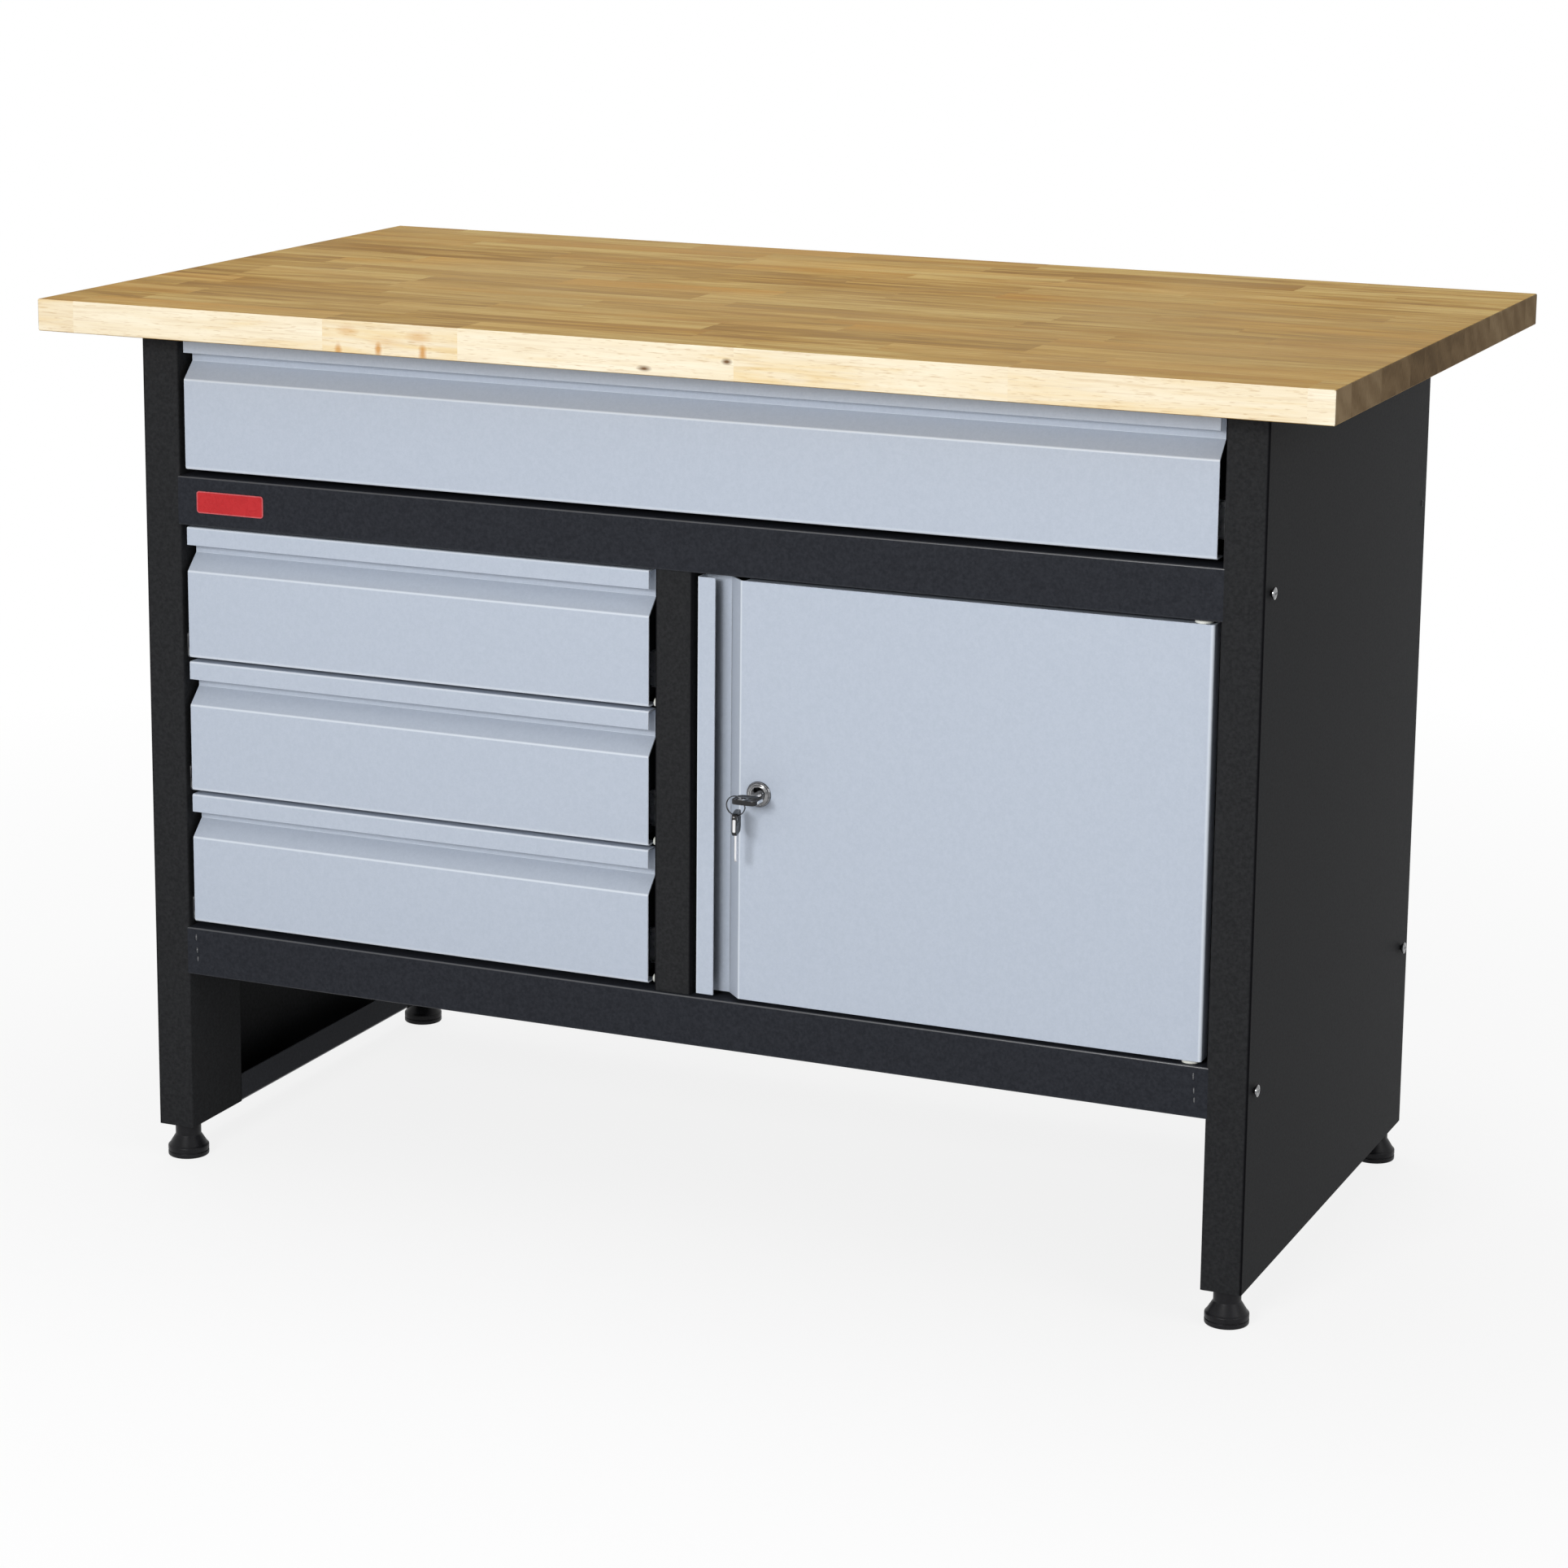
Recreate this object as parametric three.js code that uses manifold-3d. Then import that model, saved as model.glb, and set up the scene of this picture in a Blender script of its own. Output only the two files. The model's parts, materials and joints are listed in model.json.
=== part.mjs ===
// A steel workbench with a solid wood top: one wide drawer under the top, three small drawers on the left
// and a cupboard with a locking door on the right.
// Millimetres. +Z is up, +X runs along the bench to the right, and the front faces -Y.
// The origin is on the floor, under the middle of the wood top.

import * as THREE from 'three';
import { mergeVertices } from 'three/addons/utils/BufferGeometryUtils.js';
import Module from 'manifold-3d';

const wasm = await Module();
wasm.setup();

// Driving dimensions: the wood top
const topLength = 1250;
const topDepth = 700;
const topThickness = 30;
const topEasing = 1.5;
const benchHeight = 850;

// Driving dimensions: the steel body
const endOverhang = 73;
const frontSetback = 63;
const rearOverhang = 110;
const legWidth = 38;
const legReturn = 92;
const sheet = 1.5;
const bendRadius = 2;
const sillHeight = 28;
const footPlateDepth = 44;
const footPlateThickness = 3;
const railHeight = 47;
const railFlange = 30;
const lowerRailBase = 192;
const wideBayHeight = 138.5;
const floorFlange = 20;
const topAngleLeg = 20;
const topAngleInset = 12;
const postWidth = 37;
const postSetback = 3;
const strikeWidth = 19;
const dividerFlange = 20;
const shelfSetback = 72;
const shelfFlange = 14;
const shelfLedge = 15;
const plateLength = 72;
const plateHeight = 21;
const plateThickness = 0.8;
const plateInset = 19;

// Driving dimensions: fits
const fit = 0.3;
const sideGap = 6;
const bayTopGap = 2;
const bayBottomGap = 6;
const drawerGap = 3.6;
const wideTopGap = 4;

// Driving dimensions: the folded pull along each front
const frontSetIn = 2;
const frontSheet = 1.5;
const lipHeight = 17.3;
const gripOpening = 26;
const recessDepth = 16;
const slopeRun = 16;

// Driving dimensions: drawer boxes and their runners
const boxSheet = 1.2;
const boxTopDrop = 20;
const boxBottomRise = 7;
const boxRearGap = 45;
const runnerSpace = 13;
const runnerHeight = 34;
const runnerSheet = 1.2;
const runnerFlange = 9.5;
const runnerPlay = 0.4;
const runnerRise = 8;
const slideThickness = 8;

// Driving dimensions: the levelling feet
const footHeight = 35;
const footRadius = 20;
const footRim = 11.5;
const footShoulder = 1.6;
const footSoleEasing = 1.4;
const footNeckRadius = 12.5;
const footNeckHeight = 14;
const footSocketFloor = 9;
const studRadius = 5;
const studRise = 30;

// Driving dimensions: door, hinge pins, lock and keys
const doorGap = 5.5;
const doorEdgeGap = 3.4;
const pinRadius = 4;
const pinInset = 12;
const pinSetBack = 9;
const pinGrip = 12;
const pinReach = 8;
const washerRadius = 8;
const washerThickness = 2.8;
const lockInset = 62;
const lockFlangeRadius = 12;
const lockFlangeHeight = 3;
const lockFlangeEasing = 1;
const lockBarrelRadius = 9.2;
const plugRadius = 6.2;
const camLength = 60;
const camWidth = 14;
const camThickness = 2;
const camPlay = 1.8;
const keyBladeThickness = 2.2;
const keyBladeWidth = 7.6;
const keyBladeInside = 18;
const keyNeck = 16;
const keyBladeRoot = 7;
const bowWidth = 24;
const bowLength = 20;
const bowThickness = 3.6;
const bowCorner = 5;
const bowRim = 4;
const bowHoleRadius = 4.2;
const bowHoleFromEnd = 7;
const spareBladeLength = 26;
const spareTurn = THREE.MathUtils.degToRad(14);
const ringRadius = 9;
const ringWire = 0.9;
const ringPlay = 0.8;

// Facets on round pieces
const roundSides = 24;
const ringSteps = 32;
const wireSides = 8;
const bendSteps = 3;
const bowSteps = 8;
const easingSteps = 2;

// The share of a leg that a bend may take up, how far cuts reach past a face, and when two points are one
const bendShare = 0.4;
const overcut = 1;
const samePoint = 1e-4;

// Places worked out from the driving dimensions
const topUnderside = benchHeight - topThickness;
const frontY = frontSetback - topDepth / 2;
const backY = topDepth / 2 - rearOverhang;
const sideX = topLength / 2 - endOverhang;
const innerX = sideX - legWidth;
const faceY = frontY + frontSetIn;
const pullDepth = recessDepth + frontSheet;
const lowerRailTop = lowerRailBase + railHeight;
const middleRailTop = topUnderside - wideBayHeight;
const middleRailBase = middleRailTop - railHeight;
const panelFaceY = backY - sheet;
const bayEndX = innerX - fit;
const postLeft = -postWidth / 2;
const postRight = postWidth / 2;
const strikeY = faceY + pullDepth + frontSheet;
const strikeBack = strikeY + sheet;
const dividerY = strikeY + fit;

const finishes = {
  wood: { color: 0xd9b27c, roughness: 0.55, metalness: 0 },
  frame: { color: 0x2b2d31, roughness: 0.5, metalness: 0.2 },
  front: { color: 0xbcc7d7, roughness: 0.4, metalness: 0.15 },
  zinc: { color: 0xb9bcc0, roughness: 0.35, metalness: 0.9 },
  chrome: { color: 0xd8dadd, roughness: 0.12, metalness: 1 },
  black: { color: 0x1b1b1d, roughness: 0.5, metalness: 0 },
  nylon: { color: 0xe9e9e4, roughness: 0.5, metalness: 0 },
  red: { color: 0xb3201f, roughness: 0.35, metalness: 0 },
};

const bench = new THREE.Group();

function place(parent, name, geometry, finish) {
  const mesh = new THREE.Mesh(geometry, new THREE.MeshStandardMaterial(finishes[finish]));
  mesh.name = name;
  parent.add(mesh);
  return mesh;
}

function groupAt(parent, x, y, z) {
  const group = new THREE.Group();
  group.position.set(x, y, z);
  parent.add(group);
  return group;
}

// Joins and cuts of closed solids

function toSolid(geometry) {
  const bare = geometry.clone();
  bare.deleteAttribute('normal');
  bare.deleteAttribute('uv');
  const merged = mergeVertices(bare, samePoint);
  const vertProperties = new Float32Array(merged.attributes.position.array);
  const triVerts = new Uint32Array(merged.index.array);
  return new wasm.Manifold(new wasm.Mesh({ numProp: 3, vertProperties, triVerts }));
}

function fromSolid(solid) {
  const mesh = solid.getMesh();
  const geometry = new THREE.BufferGeometry();
  geometry.setAttribute('position', new THREE.BufferAttribute(mesh.vertProperties, 3));
  geometry.setIndex(new THREE.BufferAttribute(mesh.triVerts, 1));
  return geometry;
}

function joined(first, ...others) {
  return fromSolid(others.reduce((solid, other) => solid.add(toSolid(other)), toSolid(first)));
}

function cut(first, ...others) {
  return fromSolid(others.reduce((solid, other) => solid.subtract(toSolid(other)), toSolid(first)));
}

// Basic shapes

function block(x0, x1, y0, y1, z0, z1) {
  const geometry = new THREE.BoxGeometry(x1 - x0, y1 - y0, z1 - z0);
  return geometry.translate((x0 + x1) / 2, (y0 + y1) / 2, (z0 + z1) / 2);
}

function extruded(outline, depth) {
  return new THREE.ExtrudeGeometry(new THREE.Shape(outline), { depth, bevelEnabled: false });
}

// An outline in X and Y carried up from z0 to z1
function carriedZ(outline, z0, z1) {
  return extruded(outline, z1 - z0).translate(0, 0, z0);
}

// An outline in Y and Z carried along X from x0 to x1
function carriedX(outline, x0, x1) {
  const turn = new THREE.Matrix4().makeBasis(
    new THREE.Vector3(0, 1, 0), new THREE.Vector3(0, 0, 1), new THREE.Vector3(1, 0, 0));
  return extruded(outline, x1 - x0).applyMatrix4(turn).translate(x0, 0, 0);
}

// An outline in X and Z carried along Y from y0 to y1
function carriedY(outline, y0, y1) {
  const turn = new THREE.Matrix4().makeBasis(
    new THREE.Vector3(1, 0, 0), new THREE.Vector3(0, 0, 1), new THREE.Vector3(0, -1, 0));
  return extruded(outline, y1 - y0).applyMatrix4(turn).translate(0, y1, 0);
}

// A rod along Z or Y between two heights
function rodZ(x, y, radius, z0, z1) {
  const geometry = new THREE.CylinderGeometry(radius, radius, z1 - z0, roundSides);
  return geometry.rotateX(Math.PI / 2).translate(x, y, (z0 + z1) / 2);
}

function rodY(x, z, radius, y0, y1) {
  const geometry = new THREE.CylinderGeometry(radius, radius, y1 - y0, roundSides);
  return geometry.translate(x, (y0 + y1) / 2, z);
}

// A turned piece: its profile is radius and height, from the axis round to the axis or closed on itself
function turned(profile) {
  const points = profile.map(([radius, height]) => new THREE.Vector2(radius, height));
  return new THREE.LatheGeometry(points, roundSides);
}

// Rounds the corners of an open path with short arcs, so that it bends as folded sheet does
function rounded(path, radius) {
  const points = [path[0]];
  for (let i = 1; i < path.length - 1; i += 1) {
    const corner = path[i];
    const back = path[i - 1].clone().sub(corner);
    const ahead = path[i + 1].clone().sub(corner);
    const half = back.angleTo(ahead) / 2;
    const longest = bendShare * Math.min(back.length(), ahead.length());
    const trim = Math.min(radius / Math.tan(half), longest);
    const start = corner.clone().addScaledVector(back.normalize(), trim);
    const end = corner.clone().addScaledVector(ahead.normalize(), trim);
    const bend = new THREE.QuadraticBezierCurve(start, corner, end);
    points.push(...bend.getPoints(bendSteps));
  }
  points.push(path[path.length - 1]);
  return points;
}

// A folded sheet's section: the path is one face, and the sheet lies to its left, or to its right if
// the thickness is negative
function folded(corners, thickness, radius = bendRadius) {
  const path = rounded(corners.map(([x, y]) => new THREE.Vector2(x, y)), radius);
  const normals = path.slice(1).map((point, i) => {
    const along = point.clone().sub(path[i]).normalize();
    return new THREE.Vector2(-along.y, along.x);
  });
  const other = path.map((point, i) => {
    const before = normals[Math.max(i - 1, 0)];
    const after = normals[Math.min(i, normals.length - 1)];
    const mitre = before.clone().add(after).divideScalar(1 + before.dot(after));
    return point.clone().addScaledVector(mitre, thickness);
  });
  return [...path, ...other.reverse()];
}

// The wood top: a slab with eased edges
function makeTop() {
  const x = topLength / 2 - topEasing;
  const y = topDepth / 2 - topEasing;
  const plan = [[-x, -y], [x, -y], [x, y], [-x, y]].map(([px, py]) => new THREE.Vector2(px, py));
  const slab = new THREE.ExtrudeGeometry(new THREE.Shape(plan), {
    depth: topThickness - 2 * topEasing,
    bevelThickness: topEasing,
    bevelSize: topEasing,
    bevelSegments: easingSteps,
  });
  place(bench, 'worktop', slab.translate(0, 0, topUnderside + topEasing), 'wood');
}

// The foot's axis in each leg, measured from the leg's outer corner
const footX = sideX - legWidth / 2;
const footFrontY = frontY + footPlateDepth / 2;
const footBackY = backY - footPlateDepth / 2;

// One welded side: an outer skin folded into both legs, foot plates in the legs and a sill between them
function makeSide(name, side) {
  const mirrored = (outline) => outline.map((point) => new THREE.Vector2(side * point.x, point.y));
  const skin = carriedZ(mirrored(folded([
    [innerX, frontY + legReturn],
    [innerX, frontY],
    [sideX, frontY],
    [sideX, backY],
    [innerX, backY],
    [innerX, backY - legReturn],
  ], sheet)), footHeight, topUnderside - fit);
  const weld = sheet / 2;
  const inner = side * (innerX + weld);
  const outer = side * (sideX - weld);
  const [x0, x1] = [Math.min(inner, outer), Math.max(inner, outer)];
  const footPlateTop = footHeight + footPlateThickness;
  const frontPlate = block(x0, x1, frontY + weld, frontY + footPlateDepth, footHeight, footPlateTop);
  const backPlate = block(x0, x1, backY - footPlateDepth, backY - weld, footHeight, footPlateTop);
  const sillStart = frontY + legReturn - weld;
  const sillEnd = backY - legReturn + weld;
  const sillSection = mirrored(folded([
    [innerX, footHeight + sillHeight],
    [innerX, footHeight],
    [sideX - weld, footHeight],
  ], sheet));
  const sill = carriedY(sillSection, sillStart, sillEnd);
  const holes = [footFrontY, footBackY].map((y) => (
    rodZ(side * footX, y, studRadius + fit, footHeight - overcut, footPlateTop + overcut)));
  place(bench, name, cut(joined(skin, frontPlate, backPlate, sill), ...holes), 'frame');
}

// A rail of folded channel section between the sides, its web at y and its flanges pointing inwards
function channelRail(y, inward, base) {
  const top = base + railHeight;
  const section = folded([
    [y + inward * railFlange, base],
    [y, base],
    [y, top],
    [y + inward * railFlange, top],
  ], -inward * sheet);
  return carriedX(section, -bayEndX, bayEndX);
}

// The door's hinge axis
const doorLeft = postRight + doorGap;
const doorRight = innerX - sideGap;
const doorBase = lowerRailTop + doorEdgeGap;
const doorTop = middleRailBase - doorEdgeGap;
const pinX = doorRight - pinInset;
const pinY = faceY + pinSetBack;

function makeRails() {
  const pinHole = (z) => rodZ(pinX, pinY, pinRadius + fit, z - 2 * sheet, z + 2 * sheet);
  const lower = cut(channelRail(frontY, 1, lowerRailBase), pinHole(lowerRailTop));
  const middle = cut(channelRail(frontY, 1, middleRailBase), pinHole(middleRailBase));
  place(bench, 'lower_rail', lower, 'frame');
  place(bench, 'middle_rail', middle, 'frame');
  place(bench, 'rear_lower_rail', channelRail(backY, -1, lowerRailBase), 'frame');
  place(bench, 'rear_top_rail', channelRail(backY, -1, topUnderside - fit - railHeight), 'frame');
}

// Back, floor, divider, shelf and the angles that hold the top
function makePanels() {
  const backBase = lowerRailTop + fit;
  const backTop = topUnderside - fit - railHeight - fit;
  place(bench, 'back_panel', block(-bayEndX, bayEndX, panelFaceY, backY, backBase, backTop), 'frame');

  const floorFront = frontY + railFlange + fit;
  const floorBack = backY - railFlange - fit;
  const floorSection = folded([
    [-bayEndX, lowerRailTop - floorFlange],
    [-bayEndX, lowerRailTop],
    [bayEndX, lowerRailTop],
    [bayEndX, lowerRailTop - floorFlange],
  ], -sheet);
  place(bench, 'cabinet_floor', carriedY(floorSection, floorFront, floorBack), 'frame');

  const postSection = folded([
    [postLeft, strikeY],
    [postLeft, frontY + postSetback],
    [postRight, frontY + postSetback],
    [postRight, strikeY],
    [postRight + strikeWidth, strikeY],
  ], sheet);
  const bayBase = lowerRailTop + fit;
  const bayTop = middleRailBase - fit;
  place(bench, 'centre_post', carriedZ(postSection, bayBase, bayTop), 'frame');

  const dividerBack = panelFaceY - fit;
  const dividerSection = folded([
    [postLeft + dividerFlange, dividerY],
    [postLeft, dividerY],
    [postLeft, dividerBack],
    [postLeft + dividerFlange, dividerBack],
  ], -sheet);
  place(bench, 'divider_panel', carriedZ(dividerSection, bayBase, bayTop), 'frame');

  const shelfTop = (lowerRailTop + middleRailBase) / 2;
  const shelfLeft = postLeft + sheet + fit;
  const shelfFront = frontY + shelfSetback;
  const shelfBack = dividerBack - sheet - fit;
  const shelfSection = folded([
    [shelfFront, shelfTop - shelfFlange],
    [shelfFront, shelfTop],
    [shelfBack, shelfTop],
    [shelfBack, shelfTop - shelfFlange],
  ], -sheet);
  place(bench, 'cupboard_shelf', carriedX(shelfSection, shelfLeft, bayEndX), 'frame');
  const ledgeTop = shelfTop - sheet - fit;
  const ledgeSection = (wall, inward) => folded([
    [wall, ledgeTop - shelfLedge],
    [wall, ledgeTop],
    [wall + inward * shelfLedge, ledgeTop],
  ], -inward * sheet);
  const ledgeStart = shelfFront + sheet + fit;
  const ledgeEnd = shelfBack - sheet - fit;
  place(bench, 'left_shelf_ledge', carriedY(ledgeSection(shelfLeft, 1), ledgeStart, ledgeEnd), 'frame');
  place(bench, 'right_shelf_ledge', carriedY(ledgeSection(bayEndX, -1), ledgeStart, ledgeEnd), 'frame');

  const angleTop = topUnderside - fit;
  const angleWall = sideX - sheet - fit;
  for (const [name, side] of [['left_top_angle', -1], ['right_top_angle', 1]]) {
    const section = folded([
      [side * angleWall, angleTop - topAngleLeg],
      [side * angleWall, angleTop],
      [side * (angleWall - topAngleLeg), angleTop],
    ], side * sheet);
    place(bench, name, carriedY(section, frontY + topAngleInset, backY - topAngleInset), 'frame');
  }

  const plateLeft = plateInset - innerX;
  const plateMiddle = middleRailBase + railHeight / 2;
  const plateFront = frontY - fit - plateThickness;
  const plate = block(plateLeft, plateLeft + plateLength, plateFront, frontY - fit,
    plateMiddle - plateHeight / 2, plateMiddle + plateHeight / 2);
  place(bench, 'name_plate', plate, 'red');
}

// A levelling foot: a conical plastic pad on a steel stud that screws up into the leg
function makeFoot(corner, x, y) {
  const foot = groupAt(bench, x, y, 0);
  const neckBase = footHeight - footNeckHeight;
  const neckTop = footHeight - fit;
  const socketRadius = studRadius + fit;
  const pad = turned([
    [0, 0],
    [footRadius - footSoleEasing, 0],
    [footRadius, footSoleEasing],
    [footRadius, footRim - footShoulder],
    [footRadius - footShoulder, footRim],
    [footNeckRadius, neckBase],
    [footNeckRadius, neckTop],
    [socketRadius, neckTop],
    [socketRadius, footSocketFloor],
    [0, footSocketFloor],
  ]).rotateX(Math.PI / 2);
  place(foot, `${corner}_foot`, pad, 'black');
  const studTop = footHeight + footPlateThickness + studRise;
  place(foot, `${corner}_foot_stud`, rodZ(0, 0, studRadius, footSocketFloor + fit, studTop), 'zinc');
}

// The section shared by the drawer fronts and the door, as distance along the front from the pull's edge
// and depth behind the face: a hooked lip, a recess for the fingers, a slope and the flat face
function pullSection(length) {
  const slopeEnd = lipHeight + gripOpening;
  const slopeStart = slopeEnd - slopeRun;
  return [
    [lipHeight, 0],
    [0, 0],
    [0, pullDepth],
    [slopeStart, pullDepth],
    [slopeEnd, frontSheet],
    [length - frontSheet, frontSheet],
    [length - frontSheet, pullDepth],
  ];
}

// One drawer in its bay: its front, its box and the slides that run in the channels fixed to the bay's walls
function makeDrawer(name, bay) {
  const drawer = groupAt(bench, 0, faceY, bay.base);
  const height = bay.top - bay.base;
  const left = bay.left + sideGap;
  const right = bay.right - sideGap;
  const front = folded(pullSection(height).map(([along, depth]) => [depth, height - along]), -frontSheet);
  place(drawer, `${name}_front`, carriedX(front, left, right), 'front');

  const boxLeft = bay.left + runnerSpace;
  const boxRight = bay.right - runnerSpace;
  const boxFront = pullDepth + fit;
  const boxBack = panelFaceY - boxRearGap - faceY;
  const boxTop = height - boxTopDrop;
  const box = cut(
    block(boxLeft, boxRight, boxFront, boxBack, boxBottomRise, boxTop),
    block(boxLeft + boxSheet, boxRight - boxSheet, boxFront + boxSheet, boxBack - boxSheet,
      boxBottomRise + boxSheet, boxTop + overcut));
  place(drawer, `${name}_box`, box, 'frame');

  const runnerBase = boxBottomRise + runnerRise;
  const slideBase = runnerBase + runnerSheet + runnerPlay;
  const slideTop = runnerBase + runnerHeight - runnerSheet - runnerPlay;
  const reach = slideThickness + fit;
  const leftSlide = block(boxLeft - reach, boxLeft - fit, boxFront, boxBack, slideBase, slideTop);
  const rightSlide = block(boxRight + fit, boxRight + reach, boxFront, boxBack, slideBase, slideTop);
  place(drawer, `${name}_left_slide`, leftSlide, 'zinc');
  place(drawer, `${name}_right_slide`, rightSlide, 'zinc');
  place(drawer, `${name}_left_runner`, runner(bay.left + fit, 1, boxFront, boxBack, runnerBase), 'zinc');
  place(drawer, `${name}_right_runner`, runner(bay.right - fit, -1, boxFront, boxBack, runnerBase), 'zinc');
}

// A fixed runner: a channel open towards the drawer
function runner(wall, inward, start, end, base) {
  const section = folded([
    [wall + inward * (runnerSheet + runnerFlange), base],
    [wall, base],
    [wall, base + runnerHeight],
    [wall + inward * (runnerSheet + runnerFlange), base + runnerHeight],
  ], -inward * runnerSheet, runnerSheet);
  return carriedY(section, start, end);
}

function makeDrawers() {
  const wideBase = middleRailTop + bayBottomGap;
  const wideTop = topUnderside - wideTopGap;
  makeDrawer('wide_drawer', { left: -innerX, right: innerX, base: wideBase, top: wideTop });
  const names = ['lower_drawer', 'middle_drawer', 'upper_drawer'];
  const stackBase = lowerRailTop + bayBottomGap;
  const stackTop = middleRailBase - bayTopGap;
  const pitch = (stackTop - stackBase + drawerGap) / names.length;
  names.forEach((name, i) => {
    const base = stackBase + i * pitch;
    makeDrawer(name, { left: -innerX, right: postLeft, base, top: base + pitch - drawerGap });
  });
}

// The lock's axis and how far its plug reaches behind the door's face
const lockX = doorLeft + lockInset;
const lockZ = (doorBase + doorTop) / 2;
const camY = strikeBack + camPlay;
const plugEnd = camY - fit - faceY;

// The door: a folded pan with the pull on its free edge, hung on a pin at each end of the other edge
function makeDoor() {
  const width = doorRight - doorLeft;
  const door = groupAt(bench, doorLeft, faceY, 0);
  const pan = carriedZ(folded(pullSection(width), -frontSheet), doorBase, doorTop);
  const weld = frontSheet / 2;
  const flangeStart = lipHeight + gripOpening + frontSheet;
  const flangeEnd = pullDepth - weld;
  const flange = (z) => block(flangeStart, width - weld, weld, flangeEnd, z, z + frontSheet);
  const pinPlace = pinX - doorLeft;
  const pinHole = (z) => rodZ(pinPlace, pinSetBack, pinRadius + fit, z - frontSheet, z + 2 * frontSheet);
  const lockHole = rodY(lockInset, lockZ, lockBarrelRadius + fit, -frontSheet, 2 * frontSheet);
  const bottomFlange = doorBase + weld;
  const topFlange = doorTop - frontSheet - weld;
  const panel = cut(joined(pan, flange(bottomFlange), flange(topFlange)),
    pinHole(bottomFlange), pinHole(topFlange), lockHole);
  place(door, 'door_panel', panel, 'front');

  const upperPin = rodZ(pinPlace, pinSetBack, pinRadius, doorTop - pinGrip, middleRailBase + pinReach);
  const lowerPin = rodZ(pinPlace, pinSetBack, pinRadius, lowerRailTop - pinReach, doorBase + pinGrip);
  place(door, 'upper_hinge_pin', upperPin, 'zinc');
  place(door, 'lower_hinge_pin', lowerPin, 'zinc');
  const washerBase = lowerRailTop + fit;
  const washerTop = washerBase + washerThickness;
  const washer = cut(
    rodZ(pinPlace, pinSetBack, washerRadius, washerBase, washerTop),
    rodZ(pinPlace, pinSetBack, pinRadius + fit, washerBase - overcut, washerTop + overcut));
  place(door, 'hinge_washer', washer, 'nylon');
}

// The hole in a key's bow
const bowHoleX = -bowWidth / 2 + bowRim + bowHoleRadius;
const bowHoleY = -bowLength + bowHoleFromEnd;

// The key's bow seen from above: a rounded plate with one hole near its outer corner, its blade towards +Y
function bowShape() {
  const half = bowWidth / 2;
  const outline = new THREE.Shape();
  outline.moveTo(-half, -bowLength + bowCorner);
  outline.absarc(-half + bowCorner, -bowLength + bowCorner, bowCorner, Math.PI, 1.5 * Math.PI);
  outline.absarc(half - bowCorner, -bowLength + bowCorner, bowCorner, 1.5 * Math.PI, 2 * Math.PI);
  outline.lineTo(half, -bowCorner);
  outline.lineTo(half - bowCorner, 0);
  outline.lineTo(-half + bowCorner, 0);
  outline.lineTo(-half, -bowCorner);
  const hole = new THREE.Path();
  hole.absarc(bowHoleX, bowHoleY, bowHoleRadius, 0, 2 * Math.PI, true);
  outline.holes.push(hole);
  return outline;
}

// A key lying flat, its bow's inner edge at the origin and a blade from there towards +Y
function keyShape(bladeLength) {
  const bow = new THREE.ExtrudeGeometry(bowShape(), {
    depth: bowThickness,
    bevelEnabled: false,
    curveSegments: bowSteps,
  }).translate(0, 0, -bowThickness / 2);
  const half = keyBladeWidth / 2;
  const thin = keyBladeThickness / 2;
  return joined(bow, block(-half, half, -keyBladeRoot, bladeLength, -thin, thin));
}

// The lock: a flanged barrel through the door, a plug with a keyway, a cam behind it, the key and its ring
function makeLock() {
  const lock = groupAt(bench, lockX, faceY, lockZ);
  const boreRadius = plugRadius + fit;
  const barrelEnd = plugEnd - sheet;
  const barrel = turned([
    [boreRadius, -lockFlangeHeight],
    [lockFlangeRadius - lockFlangeEasing, -lockFlangeHeight],
    [lockFlangeRadius, lockFlangeEasing - lockFlangeHeight],
    [lockFlangeRadius, -fit],
    [lockBarrelRadius, -fit],
    [lockBarrelRadius, barrelEnd],
    [boreRadius, barrelEnd],
    [boreRadius, -lockFlangeHeight],
  ]);
  place(lock, 'lock_barrel', barrel, 'chrome');

  const slotHalfWidth = keyBladeWidth / 2 + fit;
  const slotHalfHeight = keyBladeThickness / 2 + fit;
  const plugFront = fit - lockFlangeHeight;
  const plug = cut(
    rodY(0, 0, plugRadius, plugFront, plugEnd),
    block(-slotHalfWidth, slotHalfWidth, plugFront - overcut, keyBladeInside + fit,
      -slotHalfHeight, slotHalfHeight));
  place(lock, 'lock_plug', plug, 'chrome');

  const camStart = plugEnd + fit;
  const half = camWidth / 2;
  const cam = block(-half, half, camStart, camStart + camThickness, -half, camLength);
  place(lock, 'lock_cam', cam, 'zinc');

  const key = groupAt(lock, 0, -keyNeck, 0);
  place(key, 'key', keyShape(keyNeck + keyBladeInside), 'black');

  const rimReach = Math.hypot(bowThickness / 2, bowRim / 2) + ringWire + fit;
  const ringDrop = ringRadius - rimReach;
  const ring = groupAt(key, -bowWidth / 2 + bowRim / 2, bowHoleY, -ringDrop);
  const loop = new THREE.TorusGeometry(ringRadius, ringWire, wireSides, ringSteps);
  place(ring, 'key_ring', loop.rotateX(Math.PI / 2), 'chrome');

  const spare = groupAt(ring, 0, 0, -ringRadius);
  spare.rotation.z = spareTurn;
  const hang = bowHoleRadius - ringWire - ringPlay;
  const spareKey = keyShape(spareBladeLength)
    .translate(-bowHoleX, -bowHoleY, 0)
    .rotateX(-Math.PI / 2)
    .rotateZ(Math.PI / 2)
    .translate(0, 0, -hang);
  place(spare, 'spare_key', spareKey, 'black');
}

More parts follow.
